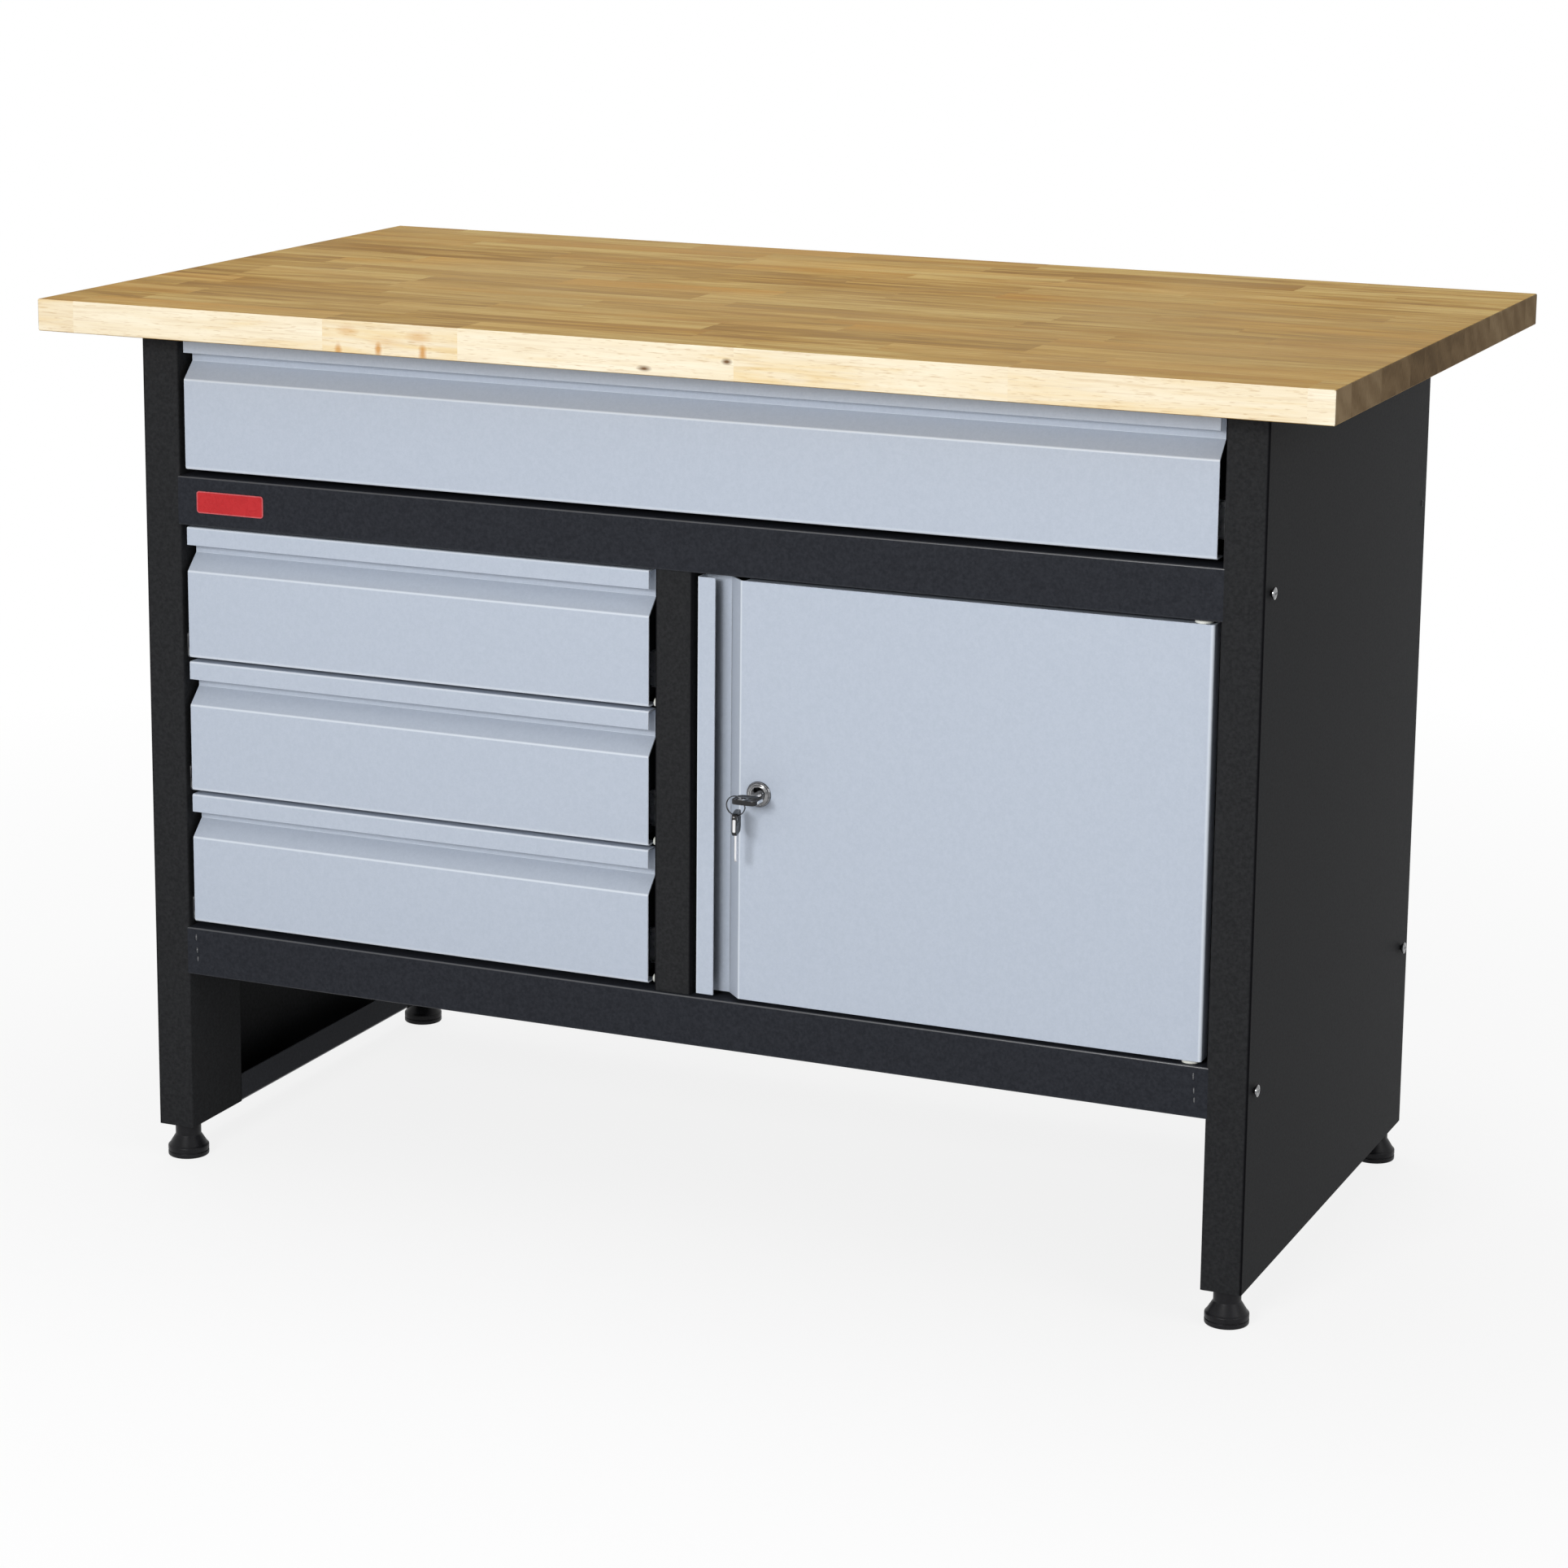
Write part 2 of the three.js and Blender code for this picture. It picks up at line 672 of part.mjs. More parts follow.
makeTop();
makeSide('left_side_frame', -1);
makeSide('right_side_frame', 1);
makeRails();
makePanels();
makeFoot('front_left', -footX, footFrontY);
makeFoot('front_right', footX, footFrontY);
makeFoot('back_left', -footX, footBackY);
makeFoot('back_right', footX, footBackY);
makeDrawers();
makeDoor();
makeLock();

export default bench;
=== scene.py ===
import json
import math

import bmesh
import bpy
import numpy as np
from mathutils import Matrix, Vector


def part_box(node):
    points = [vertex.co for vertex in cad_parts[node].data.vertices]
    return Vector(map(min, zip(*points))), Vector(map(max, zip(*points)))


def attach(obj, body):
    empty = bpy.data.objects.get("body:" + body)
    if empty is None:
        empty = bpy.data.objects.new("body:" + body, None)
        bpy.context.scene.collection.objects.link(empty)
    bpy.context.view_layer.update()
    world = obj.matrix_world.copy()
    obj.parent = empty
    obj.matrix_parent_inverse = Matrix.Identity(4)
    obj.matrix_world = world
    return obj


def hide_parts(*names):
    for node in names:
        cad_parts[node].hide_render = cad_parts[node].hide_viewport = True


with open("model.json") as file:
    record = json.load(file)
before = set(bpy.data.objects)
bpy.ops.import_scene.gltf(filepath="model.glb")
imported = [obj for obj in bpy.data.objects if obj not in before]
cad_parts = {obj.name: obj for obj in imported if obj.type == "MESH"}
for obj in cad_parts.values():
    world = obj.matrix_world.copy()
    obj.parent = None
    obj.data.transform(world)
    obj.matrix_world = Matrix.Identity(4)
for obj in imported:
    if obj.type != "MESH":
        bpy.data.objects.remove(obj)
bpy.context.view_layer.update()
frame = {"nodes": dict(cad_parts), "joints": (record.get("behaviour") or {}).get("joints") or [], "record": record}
scene = bpy.context.scene
scene.view_settings.view_transform = "Standard"
mm = 0.001  # shapes are worked out in millimetres
samePoint = 1e-6  # points closer than this, in metres, are one
trimShare = 0.45  # a bend takes at most this share of the edges beside it


# a node's box in millimetres: x0, x1, y0, y1, z0, z1
def nodeBox(name):
    low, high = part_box(name)
    return np.column_stack([low, high]).ravel() / mm


# surfaces: each is points, quads and how far each quad lies in a bend, which sets its share of painted bend tone

# rows by columns of points as quads, wrapped where a direction closes on itself
def gridQuads(rows, columns, wrapRows=False, wrapColumns=False):
    r = np.arange(rows if wrapRows else rows - 1)
    c = np.arange(columns if wrapColumns else columns - 1)
    r, c = np.meshgrid(r, c, indexing="ij")
    down, across = (r + 1) % rows, (c + 1) % columns
    corners = [r * columns + c, down * columns + c, down * columns + across, r * columns + across]
    return np.stack(corners, -1).reshape(-1, 4)


def flatShell(points, quads):
    return points.reshape(-1, 3), quads, np.zeros(len(quads))


# a section's two directions and the way it is carried, put in order as x, y and z
def alongX(a, b, s):
    return np.stack(np.broadcast_arrays(s, a, b), -1)


def alongY(a, b, s):
    return np.stack(np.broadcast_arrays(a, s, b), -1)


def alongZ(a, b, s):
    return np.stack(np.broadcast_arrays(a, b, s), -1)


# each corner becomes a parabola: (1-t)(1-t) start + 2t(1-t) corner + t*t end; it counts as bent by 4t(1-t)
# times its share of painted bend tone, which is averaged for each edge of the path
def bentPath(corners, bend, steps=8, paintedBendShare=1.0):
    corners = np.asarray(corners, float)
    middle = corners[1:-1]
    back, ahead = corners[:-2] - middle, corners[2:] - middle
    backLength = np.linalg.norm(back, axis=1)
    aheadLength = np.linalg.norm(ahead, axis=1)
    half = np.arccos((back * ahead).sum(1) / (backLength * aheadLength)) / 2
    trim = np.minimum(bend / np.tan(half), trimShare * np.minimum(backLength, aheadLength))
    start = middle + back * (trim / backLength)[:, None]
    end = middle + ahead * (trim / aheadLength)[:, None]
    t = np.linspace(0, 1, steps + 1)[:, None]
    arcs = (1 - t) ** 2 * start[:, None] + 2 * t * (1 - t) * middle[:, None] + t ** 2 * end[:, None]
    curl = np.broadcast_to(paintedBendShare, len(middle))[:, None] * (4 * t * (1 - t)).T
    curl = np.array([0, *curl.ravel(), 0])
    return np.vstack([corners[:1], arcs.reshape(-1, 2), corners[-1:]]), (curl[1:] + curl[:-1]) / 2


# the sheet's other face: each point moves along the mitre of its two edges' normals, left is positive
def otherFace(path, thickness):
    along = np.diff(path, axis=0)
    along /= np.linalg.norm(along, axis=1)[:, None]
    normal = np.column_stack([-along[:, 1], along[:, 0]])
    before = np.vstack([normal[:1], normal])
    after = np.vstack([normal, normal[-1:]])
    mitre = (before + after) / (1 + (before * after).sum(1))[:, None]
    return path + thickness * mitre


# a folded sheet: the section between a bent path and its other face, carried between two stations; its
# cut edges count as a bend by as much as edge says, and take that share of the painted bend tone
def foldedShell(corners, thickness, bend, stations, place, edge=0.0, paintedBendShare=1.0):
    path, fold = bentPath(corners, bend, paintedBendShare=paintedBendShare)
    other = otherFace(path, thickness)
    a, b = np.vstack([path, other[::-1]]).T
    points = place(a, b, np.array(stations)[:, None]).reshape(-1, 3)
    walls = gridQuads(len(stations), len(a), wrapColumns=True)
    i = np.arange(len(path) - 1)
    cap = np.stack([i, i + 1, len(a) - 2 - i, len(a) - 1 - i], -1)
    girth = np.concatenate([fold, [edge], fold[::-1], [edge]])
    folds = np.concatenate([np.tile(girth, len(stations) - 1), np.full(2 * len(cap), edge)])
    return points, np.vstack([walls, cap, cap + len(a) * (len(stations) - 1)]), folds


# corners of radius and height, bent and turned once round an axis; a closed profile joins its two ends
def turnedShell(corners, bend, centre, place=alongZ, sides=64, closed=False):
    profile, fold = bentPath(corners, bend, steps=5)
    radius, height = profile.T
    turn = np.linspace(0, 2 * math.pi, sides, endpoint=False)[:, None]
    points = place(radius * np.cos(turn), radius * np.sin(turn), height) + np.asarray(centre, float)
    folds = np.tile(np.append(fold, 0) if closed else fold, sides)
    return points.reshape(-1, 3), gridQuads(sides, len(radius), wrapRows=True, wrapColumns=closed), folds


# a plate with round corners: its outline drawn in by each layer's inset, at each layer's height, and
# closed to the middle at both ends
def plateShell(halfA, halfB, corner, layers, centre, place, steps=8):
    quarter = np.arange(4).repeat(steps)
    turn = np.tile(np.linspace(0, math.pi / 2, steps), 4) + quarter * math.pi / 2
    signA, signB = np.array([1, -1, -1, 1])[quarter], np.array([1, 1, -1, -1])[quarter]
    inset, height = np.array([layers[0], *layers, layers[-1]], float).T[:, :, None]
    share = np.array([0, *np.ones(len(layers)), 0])[:, None]
    a = share * (signA * (halfA - corner) + (corner - inset) * np.cos(turn))
    b = share * (signB * (halfB - corner) + (corner - inset) * np.sin(turn))
    points = place(a, b, height) + np.asarray(centre, float)
    return flatShell(points, gridQuads(len(share), len(turn), wrapColumns=True))


# a block with six flat faces
def blockShell(x0, x1, y0, y1, z0, z1):
    points = np.stack(np.meshgrid([x0, x1], [y0, y1], [z0, z1], indexing="ij"), -1)
    quads = [[0, 1, 3, 2], [4, 6, 7, 5], [0, 4, 5, 1], [2, 3, 7, 6], [0, 2, 6, 4], [1, 5, 7, 3]]
    return flatShell(points, np.array(quads))


# shells become one object that rides on a body; finishOf gives each shell's finish, or each quad's
def makePiece(name, shells, body, finishes, standsFor=(), finishOf=None, sharp=32):
    starts = np.cumsum([0] + [len(points) for points, _, _ in shells])
    points = np.vstack([points for points, _, _ in shells]) * mm
    quads = np.vstack([quads + start for (_, quads, _), start in zip(shells, starts)])
    mesh = bpy.data.meshes.new(name)
    mesh.from_pydata(points.tolist(), [], quads.tolist())
    for finish in finishes:
        mesh.materials.append(finish)
    numbers = zip(shells, finishOf or [0] * len(shells))
    numbers = np.concatenate([np.broadcast_to(number, len(quads)) for (_, quads, _), number in numbers])
    mesh.polygons.foreach_set("material_index", numbers.astype(np.int32))
    folds = np.concatenate([folds for _, _, folds in shells]).astype(np.float32)
    mesh.attributes.new("fold", "FLOAT", "FACE").data.foreach_set("value", folds)
    work = bmesh.new()
    work.from_mesh(mesh)
    bmesh.ops.remove_doubles(work, verts=work.verts, dist=samePoint)
    bmesh.ops.recalc_face_normals(work, faces=work.faces)
    work.to_mesh(mesh)
    work.free()
    mesh.polygons.foreach_set("use_smooth", np.ones(len(mesh.polygons), bool))
    mesh.set_sharp_from_angle(angle=math.radians(sharp))
    piece = bpy.data.objects.new(name, mesh)
    scene.collection.objects.link(piece)
    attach(piece, body)
    if standsFor:
        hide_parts(*standsFor)
    return piece


# finishes

midRange = (0.3, 0.7)  # where most of a noise's values lie


def newFinish(name):
    material = bpy.data.materials.new(name)
    material.use_nodes = True
    return material, material.node_tree, material.node_tree.nodes["Principled BSDF"]


# each value is a number, a colour or the socket that feeds it
def feed(tree, node, values):
    for key, value in values.items():
        if isinstance(value, bpy.types.NodeSocket):
            tree.links.new(value, node.inputs[key])
        else:
            node.inputs[key].default_value = value


def add(tree, kind, values=None, **settings):
    made = tree.nodes.new("ShaderNode" + kind)
    for key, value in settings.items():
        setattr(made, key, value)
    feed(tree, made, values or {})
    return made


def ramp(tree, factor, places, colours):
    made = add(tree, "ValToRGB", {"Fac": factor})
    elements = made.color_ramp.elements
    while len(elements) < len(places):
        elements.new(1.0)
    for element, place, colour in zip(elements, places, colours):
        element.position = place
        element.color = (*colour, 1.0)
    return made.outputs["Color"]


def noise(tree, vector, scale, detail=3.0, rough=0.55, distortion=0.0):
    values = {"Vector": vector, "Scale": scale, "Detail": detail, "Roughness": rough}
    return add(tree, "TexNoise", {**values, "Distortion": distortion}).outputs["Fac"]


def stretched(tree, vector, scale):
    return add(tree, "Mapping", {"Vector": vector, "Scale": scale}).outputs["Vector"]


def fitRange(tree, value, low, high, toLow, toHigh):
    values = {"Value": value, "From Min": low, "From Max": high, "To Min": toLow, "To Max": toHigh}
    return add(tree, "MapRange", values).outputs["Result"]


def mixed(tree, factor, first, second):
    return add(tree, "MixRGB", {"Fac": factor, "Color1": first, "Color2": second}).outputs["Color"]


def mathNode(tree, operation, *values):
    return add(tree, "Math", dict(enumerate(values)), operation=operation).outputs[0]


def vectorNode(tree, operation, *values):
    return add(tree, "VectorMath", dict(enumerate(values)), operation=operation).outputs["Vector"]


def bumped(tree, shader, height, strength, distance):
    bump = add(tree, "Bump", {"Height": height, "Strength": strength, "Distance": distance})
    feed(tree, shader, {"Normal": bump.outputs["Normal"]})


def objectPlace(tree):
    return add(tree, "TexCoord").outputs["Object"]


def attribute(tree, name):
    return add(tree, "Attribute", attribute_name=name).outputs["Fac"]


coats = {
    "silverPaint": {
        # its bend tone is a painted highlight on the bends and cut edges
        "tones": ((0.418, 0.468, 0.551), (0.449, 0.500, 0.583)), "bend": (0.62, 0.67, 0.74),
        "patch": 240.0, "rough": (0.38, 0.48, 0.42), "gloss": (0.35, 0.6),
        "peel": 620.0, "peelStrength": 0.08,
    },
    "blackPaint": {
        # its bend tone is a slight painted highlight, beside the real extra gloss on bends
        "tones": ((0.0183, 0.0199, 0.0247), (0.0267, 0.0288, 0.0352)), "bend": (0.025, 0.027, 0.032),
        "patch": 260.0, "rough": (0.42, 0.50, 0.28), "gloss": (0.03, 1.0),
        "peel": 420.0, "peelStrength": 0.03,
    },
    "blackSkin": {  # on the sides, the post and the back, whose bends are painted dark: a painted shade line
        "tones": ((0.0178, 0.0183, 0.0195), (0.0262, 0.0269, 0.0285)), "bend": (0.005, 0.005, 0.006),
        "patch": 240.0, "rough": (0.46, 0.54, 0.50), "gloss": (0.012, 0.0),
        "peel": 420.0, "peelStrength": 0.03,
    },
}
coats["doorPaint"] = {  # painted shade: the door's silver is painted dark inside its upright hook
    **coats["silverPaint"], "hollow": (0.36, 0.48, 0.93), "hollowReach": 0.05,
    # the dark tone of the painted shade in the hook
    "bare": (0.020, 0.021, 0.023),
}
spray = {"mottle": (0.38, 0.62), "patchDetail": 4.0, "peelDetail": 2.0, "peelDepth": 0.0004, "looks": 4}


# sprayed paint: two close tones, mottled in patches and in the orange peel; glossier over bends, whose bend
# tone is painted light: a painted highlight in the silver and black coats, a painted shade line in blackSkin;
# and painted shade in a hollow, where nearby metal hides most of the space around a point
def sprayedPaint(name):
    coat = coats[name]
    material, tree, shader = newFinish(name)
    where = objectPlace(tree)
    fold = attribute(tree, "fold")
    patches = noise(tree, where, coat["patch"], spray["patchDetail"])
    peel = noise(tree, where, coat["peel"], spray["peelDetail"])
    mottle = mixed(tree, 0.5, patches, peel)
    colour = ramp(tree, mottle, spray["mottle"], coat["tones"])
    # painted light: the bend tone laid over bends and cut edges, a painted highlight, and in blackSkin a painted
    # shade line
    colour = mixed(tree, fold, colour, (*coat["bend"], 1))
    # painted shade: the colour turns to the coat's dark tone where nearby metal hides most of the space around a
    # point
    if "hollow" in coat:
        reach = {"Distance": coat["hollowReach"]}
        around = add(tree, "AmbientOcclusion", reach, only_local=True, samples=spray["looks"])
        bare = fitRange(tree, around.outputs["AO"], *coat["hollow"], 0.0)
        colour = mixed(tree, bare, colour, (*coat["bare"], 1))
    low, high, bent = coat["rough"]
    rough = fitRange(tree, fold, 0.0, 1.0, fitRange(tree, patches, *midRange, low, high), bent)
    gloss = fitRange(tree, fold, 0.0, 1.0, *coat["gloss"])
    feed(tree, shader, {"Base Color": colour, "Roughness": rough, "Specular IOR Level": gloss})
    bumped(tree, shader, peel, coat["peelStrength"], spray["peelDepth"])
    return material


metals = {
    "zincPlate": {
        "tones": ((0.50, 0.51, 0.53), (0.58, 0.59, 0.61)), "bend": (0.80, 0.81, 0.83),
        "rough": (0.26, 0.36), "lines": (260.0, 8.0, 260.0),
    },
    # painted reflection: the screw steel and the chrome get dark tones that stand in for a dark room seen in them,
    # and near-white bend tones, painted highlights on rims and edges
    "screwSteel": {
        "tones": ((0.14, 0.145, 0.15), (0.30, 0.305, 0.31)), "bend": (0.95, 0.95, 0.96),
        "rough": (0.10, 0.22), "lines": (300.0, 300.0, 300.0),
    },
    "chromePaintedDark": {
        "tones": ((0.055, 0.058, 0.065), (0.150, 0.153, 0.160)), "bend": (0.95, 0.95, 0.96),
        "rough": (0.06, 0.14), "lines": (300.0, 300.0, 300.0),
    },
    "keySteel": {
        "tones": ((0.74, 0.74, 0.75), (0.86, 0.86, 0.87)), "bend": (0.90, 0.90, 0.91),
        "rough": (0.24, 0.36), "lines": (500.0, 500.0, 60.0),
    },
}


# bare metal: drawn lines in tone and gloss, with a lighter bend tone over edges, a painted highlight
def bareMetal(name):
    metal = metals[name]
    material, tree, shader = newFinish(name)
    lines = noise(tree, stretched(tree, objectPlace(tree), metal["lines"]), 1.0, detail=4.0)
    colour = ramp(tree, lines, midRange, metal["tones"])
    # painted highlight: edges and bends take the metal's lighter bend tone
    colour = mixed(tree, attribute(tree, "fold"), colour, (*metal["bend"], 1))
    rough = fitRange(tree, lines, *midRange, *metal["rough"])
    feed(tree, shader, {"Base Color": colour, "Roughness": rough, "Metallic": 1.0})
    return material


plastics = {
    "blackPlastic": {
        "tones": ((0.007, 0.007, 0.008), (0.012, 0.012, 0.014)), "rough": (0.34, 0.44), "gloss": 0.14,
    },
    "keyPlastic": {
        "tones": ((0.006, 0.006, 0.007), (0.010, 0.010, 0.011)), "rough": (0.16, 0.24), "gloss": 0.40,
    },
    "whiteNylon": {"tones": ((0.66, 0.67, 0.62), (0.78, 0.79, 0.74)), "rough": (0.40, 0.52), "gloss": 0.30},
    "redEnamel": {
        "tones": ((0.43, 0.018, 0.022), (0.49, 0.024, 0.028)), "rough": (0.24, 0.32), "gloss": 0.20,
    },
    "redRim": {"tones": ((0.48, 0.075, 0.085), (0.56, 0.110, 0.120)), "rough": (0.24, 0.32), "gloss": 0.30},
}
moulding = {
    "flow": 130.0, "flowDetail": 4.0, "swirl": 0.8, "spark": 1900.0, "sparkDetail": 2.0,
    "bump": (0.06, 0.0002),  # strength, and depth in metres
}


# moulded plastic or enamel: faint flow marks and a fine spark-eroded grain
def mouldedPlastic(name):
    plastic = plastics[name]
    material, tree, shader = newFinish(name)
    where = objectPlace(tree)
    flow = noise(tree, where, moulding["flow"], moulding["flowDetail"], distortion=moulding["swirl"])
    colour = ramp(tree, flow, midRange, plastic["tones"])
    rough = fitRange(tree, flow, *midRange, *plastic["rough"])
    feed(tree, shader, {"Base Color": colour, "Roughness": rough, "Specular IOR Level": plastic["gloss"]})
    spark = noise(tree, where, moulding["spark"], moulding["sparkDetail"])
    bumped(tree, shader, spark, *moulding["bump"])
    return material


woods = {
    "woodFace": {
        "tones": ((0.212, 0.111, 0.025), (0.336, 0.206, 0.057), (0.455, 0.327, 0.122)),
        "amber": (0.41, 0.205, 0.040), "grey": (0.37, 0.263, 0.114), "shade": (0.160, 0.085, 0.022),
        "figure": 0.44, "streak": 0.34, "hue": 0.65, "fade": 0.45, "fibre": 0.50, "pore": 0.34,
        "rough": (0.58, 0.72), "knots": (), "flames": (),
    },
    # painted light: the front edge is the same wood as the top, painted far lighter where it faces the key lamp;
    # its knots and flames are the wood's own
    "woodEdge": {
        "tones": ((0.770, 0.575, 0.270), (0.820, 0.715, 0.520), (0.885, 0.810, 0.645)),
        "amber": (0.80, 0.645, 0.41), "grey": (0.84, 0.75, 0.58), "shade": (0.500, 0.300, 0.115),
        "figure": 0.36, "streak": 0.30, "hue": 0.65, "fade": 0.45, "fibre": 0.34, "pore": 0.40,
        "rough": (0.56, 0.70),
        "knots": (  # x, z, half width and half height in metres, and how dark
            (0.0013, 0.8260, 0.0085, 0.0030, 0.95), (0.0805, 0.8372, 0.0058, 0.0032, 0.95),
        ),
        "flames": (
            (-0.3046, 0.8225, 0.0042, 0.0080, 0.70), (-0.2634, 0.8260, 0.0040, 0.0085, 0.80),
            (-0.2182, 0.8255, 0.0044, 0.0090, 0.80), (-0.2953, 0.8408, 0.0130, 0.0065, 0.34),
            (-0.2227, 0.8395, 0.0140, 0.0075, 0.36), (-0.2560, 0.8330, 0.0220, 0.0060, 0.22),
        ),
    },
}
grain = {  # each noise's scale in x, y and z, detail, roughness and distortion
    "figure": ((3.6, 30.0, 30.0), 5.0, 0.6, 1.4), "streak": ((7.0, 130.0, 130.0), 4.0, 0.6, 0.5),
    "fibre": ((14.0, 420.0, 420.0), 3.0, 0.6, 0.2), "pore": ((85.0, 1000.0, 1000.0), 1.0, 0.55, 0.0),
    "hue": ((1.3, 9.0, 9.0), 3.0, 0.55, 0.0), "fade": ((1.9, 2.6, 2.6), 3.0, 0.55, 0.0),
}
tints = {  # the tone that each noise lays over the wood, and from where to where it grows
    "hue": ("amber", 0.45, 0.72), "fade": ("grey", 0.42, 0.62),
    "fibre": ("shade", 0.50, 0.78), "pore": ("shade", 0.61, 0.73),
}
polish = {"stops": (0.05, 0.50, 0.95), "gloss": 0.06, "bump": (0.08, 0.0004)}
knot = {"knots": (0.13, 0.055, 0.014), "flames": (0.56, 0.24, 0.035), "reach": 0.33, "rim": (0.75, 1.55)}


def grainNoise(tree, vector, kind):
    scale, *character = grain[kind]
    return noise(tree, stretched(tree, vector, scale), 1.0, *character)


# long grain along x: a tone for each length of wood, wavy figure and streaks, broad fading, fine fibres and
# short dark pores
def longGrain(name):
    wood = woods[name]
    material, tree, shader = newFinish(name)
    where = objectPlace(tree)
    moved = vectorNode(tree, "ADD", where, attribute(tree, "staveShift"))
    fields = {kind: grainNoise(tree, where if kind == "fade" else moved, kind) for kind in grain}
    light = attribute(tree, "staveTone")
    for kind in ("figure", "streak"):
        swell = fitRange(tree, fields[kind], *midRange, -wood[kind], wood[kind])
        light = mathNode(tree, "ADD", light, swell)
    colour = ramp(tree, light, polish["stops"], wood["tones"])
    for kind, (tint, start, full) in tints.items():
        share = fitRange(tree, fields[kind], start, full, 0.0, wood[kind])
        colour = mixed(tree, share, colour, (*wood[tint], 1))
    for kind in ("flames", "knots"):
        for mark in wood[kind]:
            colour = knotted(tree, colour, where, fields["streak"], mark, knot[kind])
    rough = fitRange(tree, fields["streak"], *midRange, *wood["rough"])
    feed(tree, shader, {"Base Color": colour, "Roughness": rough, "Specular IOR Level": polish["gloss"]})
    bumped(tree, shader, fields["fibre"], *polish["bump"])
    return material


# a knot or a flame on the front edge: its tone shows where the wavy distance to its heart, 1 at its rim,
# is small
def knotted(tree, colour, where, waves, mark, tone):
    x, z, wide, tall, depth = mark
    front = nodeBox("worktop")[2] * mm
    apart = vectorNode(tree, "SUBTRACT", where, (x, front, z))
    share = vectorNode(tree, "DIVIDE", apart, (wide, knot["reach"], tall))
    far = add(tree, "VectorMath", {0: share}, operation="LENGTH").outputs["Value"]
    wavy = mathNode(tree, "ADD", far, waves)
    dark = fitRange(tree, wavy, *knot["rim"], depth, 0.0)
    return mixed(tree, dark, colour, (*tone, 1))


endCut = {
    "tones": ((0.085, 0.055, 0.028), (0.150, 0.100, 0.052), (0.235, 0.168, 0.095)), "stops": (0.1, 0.5, 0.9),
    "rings": {"Scale": 11.0, "Distortion": 3.0, "Detail": 2.0, "Detail Scale": 3.0}, "ringDepth": 0.10,
    "fibre": (600.0, 900.0, 170.0), "fibreDepth": 0.16,
    "surface": {"Roughness": 0.7, "Specular IOR Level": 0.04}, "bump": (0.10, 0.0003),
}


# end grain: growth rings as arcs round a pith that moves from stave to stave, under short upright fibres
def endGrain(name):
    material, tree, shader = newFinish(name)
    where = objectPlace(tree)
    tone = attribute(tree, "staveTone")
    shift = attribute(tree, "staveShift")
    pith = add(tree, "CombineXYZ", {"Y": shift, "Z": shift}).outputs["Vector"]
    values = {"Vector": vectorNode(tree, "ADD", where, pith), **endCut["rings"]}
    rings = add(tree, "TexWave", values, wave_type="RINGS", rings_direction="X").outputs["Fac"]
    fibre = noise(tree, stretched(tree, where, endCut["fibre"]), 1.0)
    depth = endCut["ringDepth"]
    light = mathNode(tree, "ADD", tone, fitRange(tree, rings, 0.0, 1.0, -depth, depth))
    depth = endCut["fibreDepth"]
    light = mathNode(tree, "ADD", light, fitRange(tree, fibre, *midRange, -depth, depth))
    colour = ramp(tree, light, endCut["stops"], endCut["tones"])
    feed(tree, shader, {"Base Color": colour, **endCut["surface"]})
    bumped(tree, shader, fibre, *endCut["bump"])
    return material


silver = sprayedPaint("silverPaint")
doorSilver = sprayedPaint("doorPaint")
black = sprayedPaint("blackPaint")
blackSkin = sprayedPaint("blackSkin")
zinc = bareMetal("zincPlate")
screwSteel = bareMetal("screwSteel")
chrome = bareMetal("chromePaintedDark")
keySteel = bareMetal("keySteel")
plastic = mouldedPlastic("blackPlastic")
keyPlastic = mouldedPlastic("keyPlastic")
nylon = mouldedPlastic("whiteNylon")
enamel = mouldedPlastic("redEnamel")
enamelRim = mouldedPlastic("redRim")
woodFace = longGrain("woodFace")
woodEdge = longGrain("woodEdge")
woodEnd = endGrain("woodEnd")
slotFinish = {
    "wood_top": woodFace, "black_paint": black, "silver_paint": silver, "zinc_steel": zinc,
    "chrome": chrome, "black_plastic": plastic, "white_nylon": nylon, "red_plate": enamel,
}
for row in frame["record"]["subparts"]:
    cad = frame["nodes"][row["node"]]
    cad.data.materials.clear()
    cad.data.materials.append(slotFinish[row["material_slot"]])
print("finishes:", len(bpy.data.materials))


# the wood top: staves side by side, each of random lengths glued end to end, on one closed grid

board = {
    "staves": 15, "shortest": 170.0, "longest": 380.0, "most": 12, "firstCut": (0.2, 0.8), "endShare": 1 / 3,
    "seed": 11, "easing": 1.3, "easingSteps": 3, "easedFrom": 40.0, "grainShift": 9.0,
    "frontJoints": (-586.0, -321.0, -183.0, 87.0, 340.0, 601.0),  # those that the front edge shows
    "frontTones": (0.56, 0.64, 0.34, 0.66, 0.64, 0.44, 0.80),
    "tones": (0.22, 0.74),
    "closest": 4.0,  # joints nearer than this fall on one line
}


# a stave's joints from one end to the other
def staveJoints(random, x0, x1):
    lengths = random.uniform(board["shortest"], board["longest"], board["most"])
    joints = x0 + np.cumsum(lengths) - lengths[0] * random.uniform(*board["firstCut"])
    joints = np.round(joints / board["closest"]) * board["closest"]
    return np.array([x0, *joints[joints < x1 - board["shortest"] * board["endShare"]], x1])


